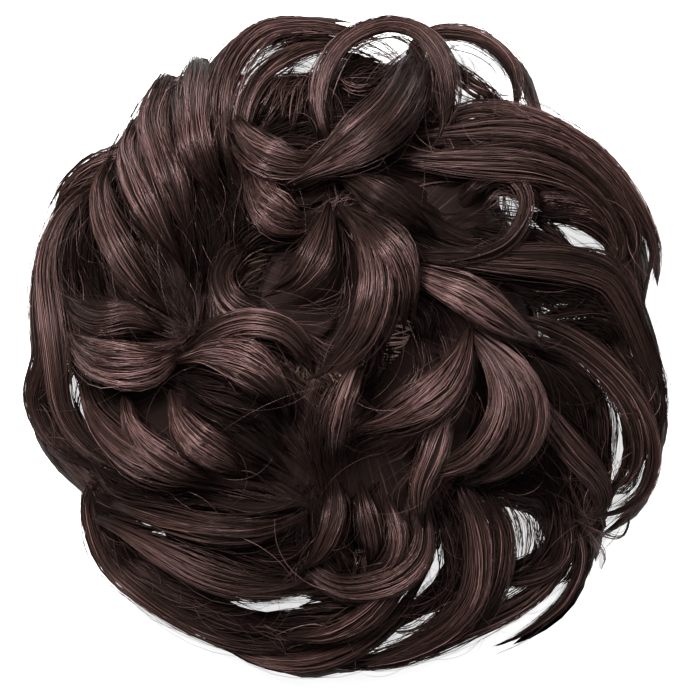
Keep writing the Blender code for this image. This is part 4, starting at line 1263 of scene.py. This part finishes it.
LOWER_MAT = RootMat("lower_roots", "lower_locks", (
    (0.0, 0.02), (0.45, 0.02), (0.84, 0.03), (0.96, 0.08), (0.98, 0.24), (0.95, 0.40), (0.5, 0.29), (0.0, 0.13)))
UPPER_MAT = RootMat("upper_roots", "curled_locks", (
    (-0.999, 0.745), (-0.8, 0.745), (-0.62, 0.70), (-0.5, 0.62), (-0.25, 0.50), (-0.02, 0.31), (0.0, 0.15),
    (0.5, 0.32), (0.9, 0.42), (0.93, 0.56), (0.80, 0.70), (0.45, 0.76), (-0.10, 0.76), (-0.45, 0.77),
    (-0.999, 0.78)), capped=True)


class Flow:
    """The way the hair lies over the dome between and beside the locks."""

    # Places read from each lock, and the directions in which the outline is read, in radians
    SAMPLES = 24
    DIRECTIONS = 73
    LOOK_BESIDE = 0.07
    # How far the hair goes past the middle lines of the outermost locks, in millimetres
    RIM_MARGIN = 2.0

    def __init__(self, blend: float = 3.5) -> None:
        """Reads the locks.

        Args:
            blend: how far a lock's lie is felt beside it, in millimetres.
        """
        self.blend = blend
        spots, ways, lifts, lights = [], [], [], []
        for lock in (*LOCKS, *FILL_LOCKS):
            share = np.linspace(0, 1, self.SAMPLES)
            line = pick(curve_through(np.array(lock.path, dtype=float)), share)
            spots.append(line)
            ways.append(unit(np.gradient(line, axis=0)))
            lifts.append(eased(lock.lift, share))
            lights.append(np.full(self.SAMPLES, lock.light))
        self.spots, self.ways = np.concatenate(spots), np.concatenate(ways)
        self.lifts, self.lights = np.concatenate(lifts), np.concatenate(lights)
        far = np.linalg.norm(self.spots, axis=1)
        angle = np.arctan2(self.spots[:, 1], self.spots[:, 0])
        self.bins = np.linspace(-math.pi, math.pi, self.DIRECTIONS)
        near = np.abs((angle[None] - self.bins[:, None] + math.pi) % math.tau - math.pi) < self.LOOK_BESIDE
        self.rim = np.where(near, far[None] + self.RIM_MARGIN, 0).max(axis=1)

    def inside(self, places: np.ndarray) -> np.ndarray:
        """Whether places are inside the outline that the locks make."""
        angle = np.arctan2(places[..., 1], places[..., 0])
        return np.hypot(places[..., 0], places[..., 1]) < np.interp(angle, self.bins, self.rim)

    def at(self, places: np.ndarray, heading: np.ndarray) -> tuple[np.ndarray, np.ndarray, np.ndarray]:
        """The lie of the hair at places.

        Args:
            places: where, one a row.
            heading: the way that each hair comes from, which settles which way round it goes on.

        Returns:
            The way on, the lift over the dome and the painted light of the locks at each place.
        """
        off = places[:, None] - self.spots[None]
        near = np.exp(-(off**2).sum(axis=-1) / (2 * self.blend**2)) + 1e-9
        ways = (near * np.sign(heading @ self.ways.T)) @ self.ways
        total = near.sum(axis=1)
        return unit(ways), near @ self.lifts / total, near @ self.lights / total

    def start(self, number: int, spread: float, rng: np.random.Generator) -> tuple[np.ndarray, np.ndarray]:
        """Places beside the locks to start hairs from.

        Args:
            number: how many.
            spread: how far to the side they go, in millimetres.
            rng: the source of chance.

        Returns:
            The places and the way that each heads.
        """
        chosen = rng.integers(0, len(self.spots), number)
        ways = self.ways[chosen]
        beside = np.column_stack([-ways[:, 1], ways[:, 0]]) * rng.normal(0, spread, number)[:, None]
        return self.spots[chosen] + beside + ways * rng.uniform(-3, 3, number)[:, None], ways


@dataclass
class GroundHair:
    """Hair that fills between the locks and follows them, sunk below their tops.

    Drop is how far below the dome it lies and length how long it is, each from least to most.
    Hairs start together in wisps. Each ends beyond, keeps clear of and stays within a distance
    from the middle, all in millimetres, and leaves the gaps open unless it crosses them.
    """

    name: str
    number: int
    drop: tuple[float, float]
    length: tuple[float, float]
    thickness: float
    tone: float
    in_wisp: int = 5
    sides: int = HAIR_SIDES
    flat: float = 1.0
    rings: int = 9
    spread: float = 5.0
    beyond: float = 0.0
    clear: float = 0.0
    within: float = 100.0
    crosses: bool = False

    WISP_SPREAD = 0.9
    SWAY = 0.45
    SIDE_SWAY = 0.5
    DROP_SPREAD = 0.4
    # How much of a lock's lift the hair beside it follows, and up to which lift
    MOST_LIFT = 3
    LIFT_SHARE = 0.7
    END_DROP = 1.5
    HAIR_TAPER = 0.5
    STRIP_TAPER = 0.95
    # How much of the painted light of the locks beside it the hair takes, and how its own tone varies at random
    LIGHT_SHARE = 0.4
    TONE_SPREAD = 0.17

    def build(self, flow: Flow, rng: np.random.Generator, material: bpy.types.Material) -> bpy.types.Object:
        """Makes the hair.

        Args:
            flow: the lie of the hair.
            rng: the source of chance.
            material: its finish.

        Returns:
            The piece.
        """
        mesh = HairMesh(self.name)
        mesh.add(self.hairs(flow, rng), self.sides, self.flat)
        return mesh.make(material, "curled_locks")

    def hairs(self, flow: Flow, rng: np.random.Generator) -> Hairs:
        """The hairs, from wisps of a few that start together."""
        wisps = self.number // self.in_wisp
        start, heading = flow.start(wisps, self.spread, rng)
        start = np.repeat(start, self.in_wisp, axis=0)
        start = start + rng.normal(0, self.WISP_SPREAD, start.shape)
        heading = np.repeat(heading, self.in_wisp, axis=0)
        number = len(start)
        stride = rng.uniform(*self.length, number)[:, None] / (self.rings - 1)
        places, lifts, lights = [start], [], []
        for ring in range(self.rings):
            heading, lift, light = flow.at(places[-1], heading)
            lifts.append(lift)
            lights.append(light)
            if ring < self.rings - 1:
                places.append(places[-1] + heading * stride)
        flat, lift, light = np.stack(places, axis=1), np.stack(lifts, axis=1), np.stack(lights, axis=1)
        along = np.linspace(0, 1, self.rings)
        sway = LockDresser.wave(rng, number, along, self.SWAY)
        drop = np.repeat(rng.uniform(*self.drop, wisps), self.in_wisp)[:, None]
        drop = drop + rng.normal(0, self.DROP_SPREAD, (number, 1))
        height = dome_height(flat) + np.minimum(lift, self.MOST_LIFT) * self.LIFT_SHARE - drop
        height = height - self.END_DROP * (1 - np.sin(math.pi * along)) + sway
        points = raised(flat, height)
        side, up = frames(points)
        points = points + side * LockDresser.wave(rng, number, along, self.SIDE_SWAY)[..., None]
        taper = self.HAIR_TAPER if self.sides == HAIR_SIDES else self.STRIP_TAPER
        thick = self.thickness * rng.uniform(0.7, 1.25, (number, 1)) * (1 - taper * np.abs(along * 2 - 1) ** 3)
        # Painted light and shade: the hair takes the painted light of the locks beside it, with a random tone of
        # its own, and is painted darker in the pits and hollows
        tone = self.tone + (light - 0.5) * self.LIGHT_SHARE + rng.normal(0, self.TONE_SPREAD, (number, 1))
        hairs = Hairs(points, side, up, thick, np.clip(tone, 0, 1))
        far = np.linalg.norm(flat, axis=2)
        kept = flow.inside(flat).all(axis=1) & (far.max(axis=1) > self.beyond) & (far.min(axis=1) > self.clear)
        kept &= far.max(axis=1) < self.within
        hairs = hairs.only(kept).dimmed(PITS + SHADOWS)
        return hairs if self.crosses else hairs.clear_of(GAPS + WINDOWS)


# Deeper layers are given a lower tone: painted shade
GROUND = (
    GroundHair("filling_hair", 2050, (1.5, 5.5), (22, 40), 0.08, 0.4),
    GroundHair("hollow_hair", 850, (4.5, 9.0), (16, 30), 0.12, 0.3, rings=7, within=48.0),
    GroundHair("crossing_hair", 460, (-1.0, 5.0), (16, 34), 0.055, 0.42, 2, spread=4.0, crosses=True),
    GroundHair("rim_hair", 1900, (1.0, 6.0), (14, 26), 0.09, 0.4, 5, rings=7, spread=6.0, beyond=42.0),
    GroundHair("upper_strips", 440, (3.0, 5.5), (20, 34), 1.2, 0.2, 1, 6, 0.3, clear=38.0),
    GroundHair("middle_strips", 560, (4.5, 7.0), (20, 34), 1.7, 0.14, 1, 6, 0.3, clear=33.0),
    GroundHair("deep_strips", 470, (6.5, 9.5), (20, 34), 2.2, 0.08, 1, 6, 0.3, spread=7.0),
)


@dataclass
class StrayHairs:
    """Single thin hairs that cross the locks and stand out from the rim."""

    number: int = 240
    rings: int = 12
    thickness: float = 0.05

    # Hairs that start beyond this stand out from the rim, and are tried this many times as often
    RIM_FROM = 66.0
    RIM_TRIES = 4
    FARTHEST = 78.5
    START_SPREAD = 3.0
    LENGTHS = (8, 32)
    RIM_LENGTHS = (8, 24)
    # How each hair turns aside at its start and on its way, in radians
    FIRST_TURN = (0.05, 0.7)
    LATER_TURN = (0.5, 2.6)
    ABOVE = (0.5, 4.5)
    SWAY = 0.7
    END_DROP = 2.5
    TAPER = 0.6
    TONE = (0.58, 0.16)

    def build(self, flow: Flow, rng: np.random.Generator, material: bpy.types.Material) -> bpy.types.Object:
        """Makes the hairs.

        Args:
            flow: the lie of the hair.
            rng: the source of chance.
            material: their finish.

        Returns:
            The piece.
        """
        mesh = HairMesh("stray_hairs")
        mesh.add(self.hairs(flow, rng, self.number, 0.0))
        mesh.add(self.hairs(flow, rng, self.number * self.RIM_TRIES, self.RIM_FROM))
        return mesh.make(material, "curled_locks")

    def hairs(self, flow: Flow, rng: np.random.Generator, number: int, beyond: float) -> Hairs:
        """The hairs that start at least so far from the middle.

        Args:
            flow: the lie of the hair.
            rng: the source of chance.
            number: how many are tried.
            beyond: the least distance of their start from the middle, in millimetres.

        Returns:
            The hairs.
        """
        start, heading = flow.start(number, self.START_SPREAD, rng)
        kept = np.linalg.norm(start, axis=1) > beyond
        start, heading = start[kept], heading[kept]
        number = len(start)
        length = rng.uniform(*(self.LENGTHS if beyond == 0 else self.RIM_LENGTHS), (number, 1))
        along = np.linspace(0, 1, self.rings)[None]
        sign = rng.choice([-1, 1], (number, 1))
        turn = sign * rng.uniform(*self.FIRST_TURN, (number, 1))
        turn = turn - sign * rng.uniform(*self.LATER_TURN, (number, 1)) * along
        angle = np.arctan2(heading[:, 1], heading[:, 0])[:, None] + turn
        steps = np.stack([np.cos(angle), np.sin(angle)], axis=-1) * (length / (self.rings - 1))[..., None]
        run = np.cumsum(steps[:, :-1], axis=1)
        flat = start[:, None] + np.concatenate([np.zeros((number, 1, 2)), run], axis=1)
        lift = flow.at(start, heading)[1]
        arch = np.sin(math.pi * (0.15 + 0.7 * along))
        height = (dome_height(flat) + lift[:, None] + rng.uniform(*self.ABOVE, (number, 1))
                  + LockDresser.wave(rng, number, along[0], self.SWAY) - self.END_DROP * (1 - arch))
        points = raised(flat, height)
        side, up = frames(points)
        thick = self.thickness * rng.uniform(0.75, 1.2, (number, 1)) * (1 - self.TAPER * along**3)
        tone = np.clip(rng.normal(*self.TONE, (number, 1)) + np.zeros_like(along), 0, 1)
        far = np.linalg.norm(flat, axis=2).max(axis=1)
        return Hairs(points, side, up, thick, tone).only(far < self.FARTHEST)


@dataclass
class UnderHair:
    """The roots on the underside: hair that runs out from the weft and turns with the curls."""

    number: int = 1150
    rings: int = 8
    thickness: float = 0.15

    WISPS = 110
    # How far each wisp turns on its way out, in radians, and how far out of the reach it goes
    TURN = (0.25, 0.75)
    REACH = (0.8, 1.0)
    FROM_LOOP = 21.0
    # The heights of the hair over the floor: its lowest, and what its root and its tip add
    LOWEST = 0.35
    ROOT_RISE = 2.4
    TIP_RISE = 2.5
    TONE = 0.42

    def build(self, rng: np.random.Generator, material: bpy.types.Material) -> bpy.types.Object:
        """Makes the hair.

        Args:
            rng: the source of chance.
            material: its finish.

        Returns:
            The piece.
        """
        number, along = self.number, np.linspace(0, 1, self.rings)[None]
        wisp = rng.integers(0, self.WISPS, number)
        start = math.tau * (wisp / self.WISPS + rng.normal(0, 0.0035, number))
        turn = rng.uniform(*self.TURN, self.WISPS)[wisp, None] + rng.normal(0, 0.04, (number, 1))
        angle = start[:, None] + turn * along**1.3
        rim = np.array([reach_at(a, "roots") for a in start]) * rng.uniform(*self.REACH, self.WISPS)[wisp]
        root = self.FROM_LOOP + 0.3 * rng.random((number, 1))
        # The roots start round the loop's middle and end round the hairpiece's own
        share = along * rng.uniform(0.9, 1.0, (number, 1))
        far = root + (rim[:, None] - root) * share
        middle = np.stack([LOOP_X * (1 - share), LOOP_Y * (1 - share)], axis=-1)
        flat = middle + np.stack([np.cos(angle), np.sin(angle)], axis=-1) * far[..., None]
        height = (self.LOWEST + self.ROOT_RISE * (1 - share) ** 4 + rng.uniform(0, 0.5, (number, 1))
                  + self.TIP_RISE * share**5
                  + 0.4 * (1 + LockDresser.wave(rng, number, along[0], 0.5)))
        points = raised(flat, height)
        side, up = frames(points)
        thick = self.thickness * rng.uniform(0.7, 1.2, (number, 1)) * (1 - 0.5 * along**3)
        tone = self.TONE + rng.normal(0, 0.08, self.WISPS)[wisp, None] + rng.normal(0, 0.2, (number, 1))
        tone = np.clip(tone + np.zeros_like(along), 0, 1)
        mesh = HairMesh("underside_hair")
        mesh.add(Hairs(points, side, up, thick, tone))
        return mesh.make(material, "lower_locks")


@dataclass(frozen=True)
class RingSection:
    """A ring round the loop's middle, its section given as how far out and up each corner is."""

    name: str
    node: str
    section: tuple[tuple[float, float], ...]
    steps: int = 120
    radius: float = 18.0
    tone: float = 0.35

    def build(self, material: bpy.types.Material) -> bpy.types.Object:
        """Turns the section into a closed ring.

        Args:
            material: its finish.

        Returns:
            The piece.
        """
        bm = turned(self.section, self.steps)
        bmesh.ops.recalc_face_normals(bm, faces=bm.faces)
        bmesh.ops.transform(bm, matrix=Matrix.Translation((LOOP_X * MM, LOOP_Y * MM, 0)) @ Matrix.Scale(MM, 4),
                            verts=bm.verts)
        uv_layer, tone_layer = bm.loops.layers.uv.verify(), bm.verts.layers.float.new("tone")
        for vert in bm.verts:
            vert[tone_layer] = self.tone
        for face in bm.faces:
            face.smooth = True
            middle = face.calc_center_median()
            turn = math.atan2(middle.y / MM - LOOP_Y, middle.x / MM - LOOP_X)
            for loop in face.loops:
                x, y, z = loop.vert.co / MM
                here = math.atan2(y - LOOP_Y, x - LOOP_X)
                here += math.tau * round((turn - here) / math.tau)
                loop[uv_layer].uv = (z + math.hypot(x - LOOP_X, y - LOOP_Y), here * self.radius)
        return place_built(self.name, bm, material, self.node)


@dataclass(frozen=True)
class Threads:
    """Threads side by side round the loop, each wound over the section of the ring under it.

    Lean is how far along the ring a thread goes from its first place to its last, uneven how
    unlike each other the threads are, as a share, and pale how much paler they are on the side
    that the light reaches.
    """

    name: str
    node: str
    count: int
    thickness: float
    path: tuple[tuple[float, float], ...]
    lean: float
    sides: int = 5
    uneven: float = 0.08
    pale: float = 0.0
    radius: float = 19.0
    tone: float = 0.42

    def build(self, material: bpy.types.Material) -> bpy.types.Object:
        """Makes the threads.

        Args:
            material: their finish.

        Returns:
            The piece.
        """
        rng = np.random.default_rng(SEED + self.count)
        line = np.array(self.path)
        share = run_of(line)[None] / run_of(line)[-1]
        angle = np.arange(self.count)[:, None] + rng.normal(0, self.uneven, (self.count, 1))
        angle = angle * math.tau / self.count
        lean = self.lean * rng.normal(1, self.uneven, (self.count, 1))
        angle = angle + (share - 0.5) * lean / self.radius
        way = np.stack([np.cos(angle), np.sin(angle)], axis=-1)
        flat = way * line[None, :, :1] + np.array([LOOP_X, LOOP_Y])
        points = raised(flat, np.broadcast_to(line[None, :, 1], flat.shape[:2]))
        ahead = unit(np.gradient(points, axis=1))
        beside = np.stack([-way[..., 1], way[..., 0], np.zeros_like(angle)], axis=-1)
        up = unit(np.cross(beside, ahead))
        thick = np.full(angle.shape, self.thickness) * rng.uniform(0.9, 1.1, (self.count, 1))
        paler = self.pale * np.cos(angle - LIGHT_SIDE)
        tone = np.clip(self.tone + paler + rng.normal(0, 0.2, (self.count, 1)), 0, 1)
        mesh = HairMesh(self.name)
        mesh.add(Hairs(points, unit(np.cross(ahead, up)), up, thick, tone), self.sides)
        return mesh.make(material, self.node)


ELASTIC_CORE = RingSection("elastic_core", "elastic_band", (
    (17.35, 3.4), (17.7, 3.15), (18.3, 3.15), (18.65, 3.4), (18.65, 8.6), (18.3, 8.85), (17.7, 8.85), (17.35, 8.6)))
ELASTIC_BRAID = Threads("elastic_braid", "elastic_band", 110, 0.3, (
    (17.9, 3.2), (17.35, 3.5), (17.25, 4.5), (17.3, 6.0), (17.25, 7.5), (17.35, 8.5), (18.0, 8.85),
    (18.65, 8.5), (18.75, 7.5), (18.7, 6.0), (18.75, 4.5), (18.65, 3.5), (18.1, 3.2)), 2.2)
WEFT_CORE = RingSection("weft_core", "weft_wrap", (
    (17.9, 1.6), (20.4, 1.5), (20.85, 2.1), (20.9, 6.0), (20.85, 9.9), (20.4, 10.5), (17.9, 10.4), (17.9, 9.5),
    (19.55, 9.4), (19.55, 2.6), (17.9, 2.5)))
WEFT_STITCHES = Threads("weft_stitches", "weft_wrap", 132, 0.26, (
    (17.85, 2.4), (17.85, 1.55), (19.2, 1.35), (20.5, 1.4), (20.95, 2.2), (21.0, 4.0), (21.0, 6.0), (21.0, 8.0),
    (20.95, 9.8), (20.5, 10.55), (19.2, 10.6), (17.85, 10.4), (17.85, 9.6)), 1.6)
UPPER_WEFT = Threads("upper_weft", "weft_wrap", 230, 0.17, (
    (16.6, 31.4), (17.2, 32.1), (18.0, 32.3), (18.9, 32.2), (19.7, 31.8), (20.3, 31.0)), 2.6, 4, 0.7, 0.5)


@dataclass(frozen=True)
class Coat:
    """One piece of hair, laid on locks by a dresser.

    Longest is the longest step between the rings of a hair, in millimetres. Its hairs are darker
    in the shades and cross none of the gaps. Under says that it has the darker finish of buried
    hair, which is painted shade.
    """

    name: str
    locks: tuple[Lock, ...]
    dresser: LockDresser
    longest: float = 8.0
    shades: tuple[Gap, ...] = ()
    gaps: tuple[Gap, ...] = ()
    under: bool = False

    def build(self, rng: np.random.Generator, material: bpy.types.Material) -> bpy.types.Object:
        """Makes the hair.

        Args:
            rng: the source of chance.
            material: its finish.

        Returns:
            The piece.
        """
        mesh = HairMesh(self.name)
        for lock in self.locks:
            hairs = self.dresser.hairs(lock, Spine.of_lock(lock, longest=self.longest), rng)
            mesh.add(hairs.clear_of(self.gaps).dimmed(self.shades))
        return mesh.make(material, "curled_locks")


# How far from the middle a lock lies on average, in millimetres, for its edge to be frizzy
FRIZZY_FROM = 60.0
RIM_LOCKS = tuple(lock for lock in LOCKS if np.linalg.norm(lock.path, axis=1).mean() > FRIZZY_FROM)

COATS = (
    *(Coat(f"{area.value}_locks", tuple(lock for lock in LOCKS if lock.area is area), LockDresser(), LONGEST_STEP,
           SHADOWS) for area in Area),
    Coat("loose_hairs", LOCKS, LockDresser(1.6, 0.105, 1.3, 0.6, 1.1, 1.5, 0.5), shades=SHADOWS),
    Coat("rim_frizz", RIM_LOCKS, LockDresser(1.8, 0.05, 1.0, 0.9, 0.5, 1.6, 0.3)),
    Coat("wisps", WISPS, LockDresser(6.0, 0.09, 1.0, 0.4, 0.5, 1.1), longest=4.0),
    Coat("fill_locks", FILL_LOCKS, LockDresser(8.0, 0.13, 2.2, 0.35, 0.8, 1.3), shades=PITS + SHADOWS, gaps=GAPS,
         under=True),
)
SIDE_DRESSER = LockDresser(3.8, 0.18)


@dataclass
class CurledLocks:
    """The curled locks: their cores, their roots, their coats of hair and the hair beneath."""

    finish: bpy.types.Material
    shaded_core_finish: bpy.types.Material
    shaded_under_finish: bpy.types.Material

    def build(self) -> list[bpy.types.Object]:
        """Makes the locks of every area, then the hair beneath and the stray hairs.

        Returns:
            The pieces.
        """
        rng = np.random.default_rng(SEED)
        flow = Flow()
        pieces = [self.build_cores(), UPPER_MAT.build(self.shaded_core_finish), LOWER_MAT.build(self.shaded_core_finish)]
        for coat in COATS:
            pieces.append(coat.build(rng, self.shaded_under_finish if coat.under else self.finish))
        for kind, node in ((SIDE_CURLS, "curled_locks"), (LOW_CURLS, "lower_locks")):
            mesh = HairMesh(kind.name)
            lock = Lock(kind.name, Area.LOW, (0, 0, 0), kind.width, (), kind.light)
            for number in range(kind.count):
                mesh.add(SIDE_DRESSER.hairs(lock, Spine.of_side_lock(kind, number), rng).clear_of(GAPS))
            pieces.append(mesh.make(self.shaded_under_finish, node))
        for layer in GROUND:
            pieces.append(layer.build(flow, rng, self.finish if layer.sides == HAIR_SIDES else self.shaded_under_finish))
        pieces.append(StrayHairs().build(flow, rng, self.finish))
        return pieces

    def build_cores(self) -> bpy.types.Object:
        """The close-packed insides of all the locks, as one piece."""
        bm = bmesh.new()
        for locks, core in ((LOCKS, LockCore()), (FILL_LOCKS, LockCore(6, 0.6, 0.5, 1.0, 0.3))):
            for lock in locks:
                core.add_to(bm, Spine.of_lock(lock, drop=core.drop), lock.light * core.light)
        bmesh.ops.recalc_face_normals(bm, faces=bm.faces)
        return place_built("lock_cores", bm, self.shaded_core_finish, "curled_locks")


@dataclass(frozen=True)
class SoftLight:
    """A soft square light: where it is and its side, in metres, and its power in watts."""

    name: str
    spot: tuple[float, float, float]
    size: float
    power: float

    def build(self) -> None:
        """Makes the light, turned to the hairpiece."""
        data = bpy.data.lights.new(self.name, "AREA")
        data.size = self.size
        data.energy = self.power
        lamp = bpy.data.objects.new(self.name, data)
        lamp.location = self.spot
        lamp.rotation_euler = (-Vector(self.spot)).to_track_quat("-Z", "Y").to_euler()
        bpy.context.scene.collection.objects.link(lamp)


LIGHTS = (
    SoftLight("key_light", (-0.45, 0.5, 1.1), 0.35, 33.0),
    SoftLight("top_light", (0.25, 0.5, 1.15), 0.6, 8.5),
    SoftLight("fill_light", (0.5, -0.9, 0.9), 0.8, 2.5),
)


@dataclass
class Studio:
    """A plain pale floor, soft lights and the camera, straight above as in the photograph."""

    camera_height: float = 1.6
    camera_spot: tuple[float, float] = (0.0007, -0.0016)
    top_height: float = 0.025
    sensor: float = 36.0
    floor_size: float = 6.0
    sky: float = 0.22
    floor_glow: float = 0.75

    def build(self) -> None:
        """Makes the floor, the lights and the camera."""
        scene = bpy.context.scene
        scene.view_settings.view_transform = "Standard"
        world = bpy.data.worlds.new("studio")
        world.use_nodes = True
        world.node_tree.nodes["Background"].inputs["Color"].default_value = (1, 1, 1, 1)
        world.node_tree.nodes["Background"].inputs["Strength"].default_value = self.sky
        scene.world = world
        self.build_floor()
        for light in LIGHTS:
            light.build()
        self.build_camera()

    def build_floor(self) -> None:
        """Makes the pale floor."""
        bm = bmesh.new()
        bmesh.ops.create_grid(bm, x_segments=1, y_segments=1, size=self.floor_size / 2)
        mesh = bpy.data.meshes.new("floor")
        bm.to_mesh(mesh)
        bm.free()
        floor = bpy.data.objects.new("floor", mesh)
        bpy.context.scene.collection.objects.link(floor)
        finish = bpy.data.materials.new("pale_floor")
        finish.use_nodes = True
        shader = finish.node_tree.nodes["Principled BSDF"]
        for socket, value in (("Base Color", (0.93, 0.93, 0.93, 1)), ("Roughness", 0.9),
                              ("Specular IOR Level", 0.1), ("Emission Color", (1, 1, 1, 1)),
                              ("Emission Strength", self.floor_glow)):
            shader.inputs[socket].default_value = value
        mesh.materials.append(finish)

    def build_camera(self) -> None:
        """Makes the camera and sets it as the scene's."""
        data = bpy.data.cameras.new("camera")
        data.sensor_width = self.sensor
        data.lens = self.sensor * (self.camera_height - self.top_height) / (SHEET_MM * MM)
        camera = bpy.data.objects.new("camera", data)
        camera.location = (*self.camera_spot, self.camera_height)
        bpy.context.scene.collection.objects.link(camera)
        bpy.context.scene.camera = camera


def main() -> None:
    """Builds the studio and every piece of the hairpiece in order."""
    logging.basicConfig(level=logging.INFO, format="%(message)s")
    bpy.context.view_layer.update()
    Studio().build()
    streaks = build_streak_group()
    under = UNDER.build(streaks)
    CurledLocks(HAIR.build(streaks), CORE.build(streaks), under).build()
    UnderHair().build(np.random.default_rng(SEED + 1), under)
    weft, elastic = WEFT.build(streaks), ELASTIC.build(streaks)
    for part in (ELASTIC_CORE, ELASTIC_BRAID):
        part.build(elastic)
    for part in (WEFT_CORE, WEFT_STITCHES, UPPER_WEFT):
        part.build(weft)


if __name__ == "__main__":
    main()
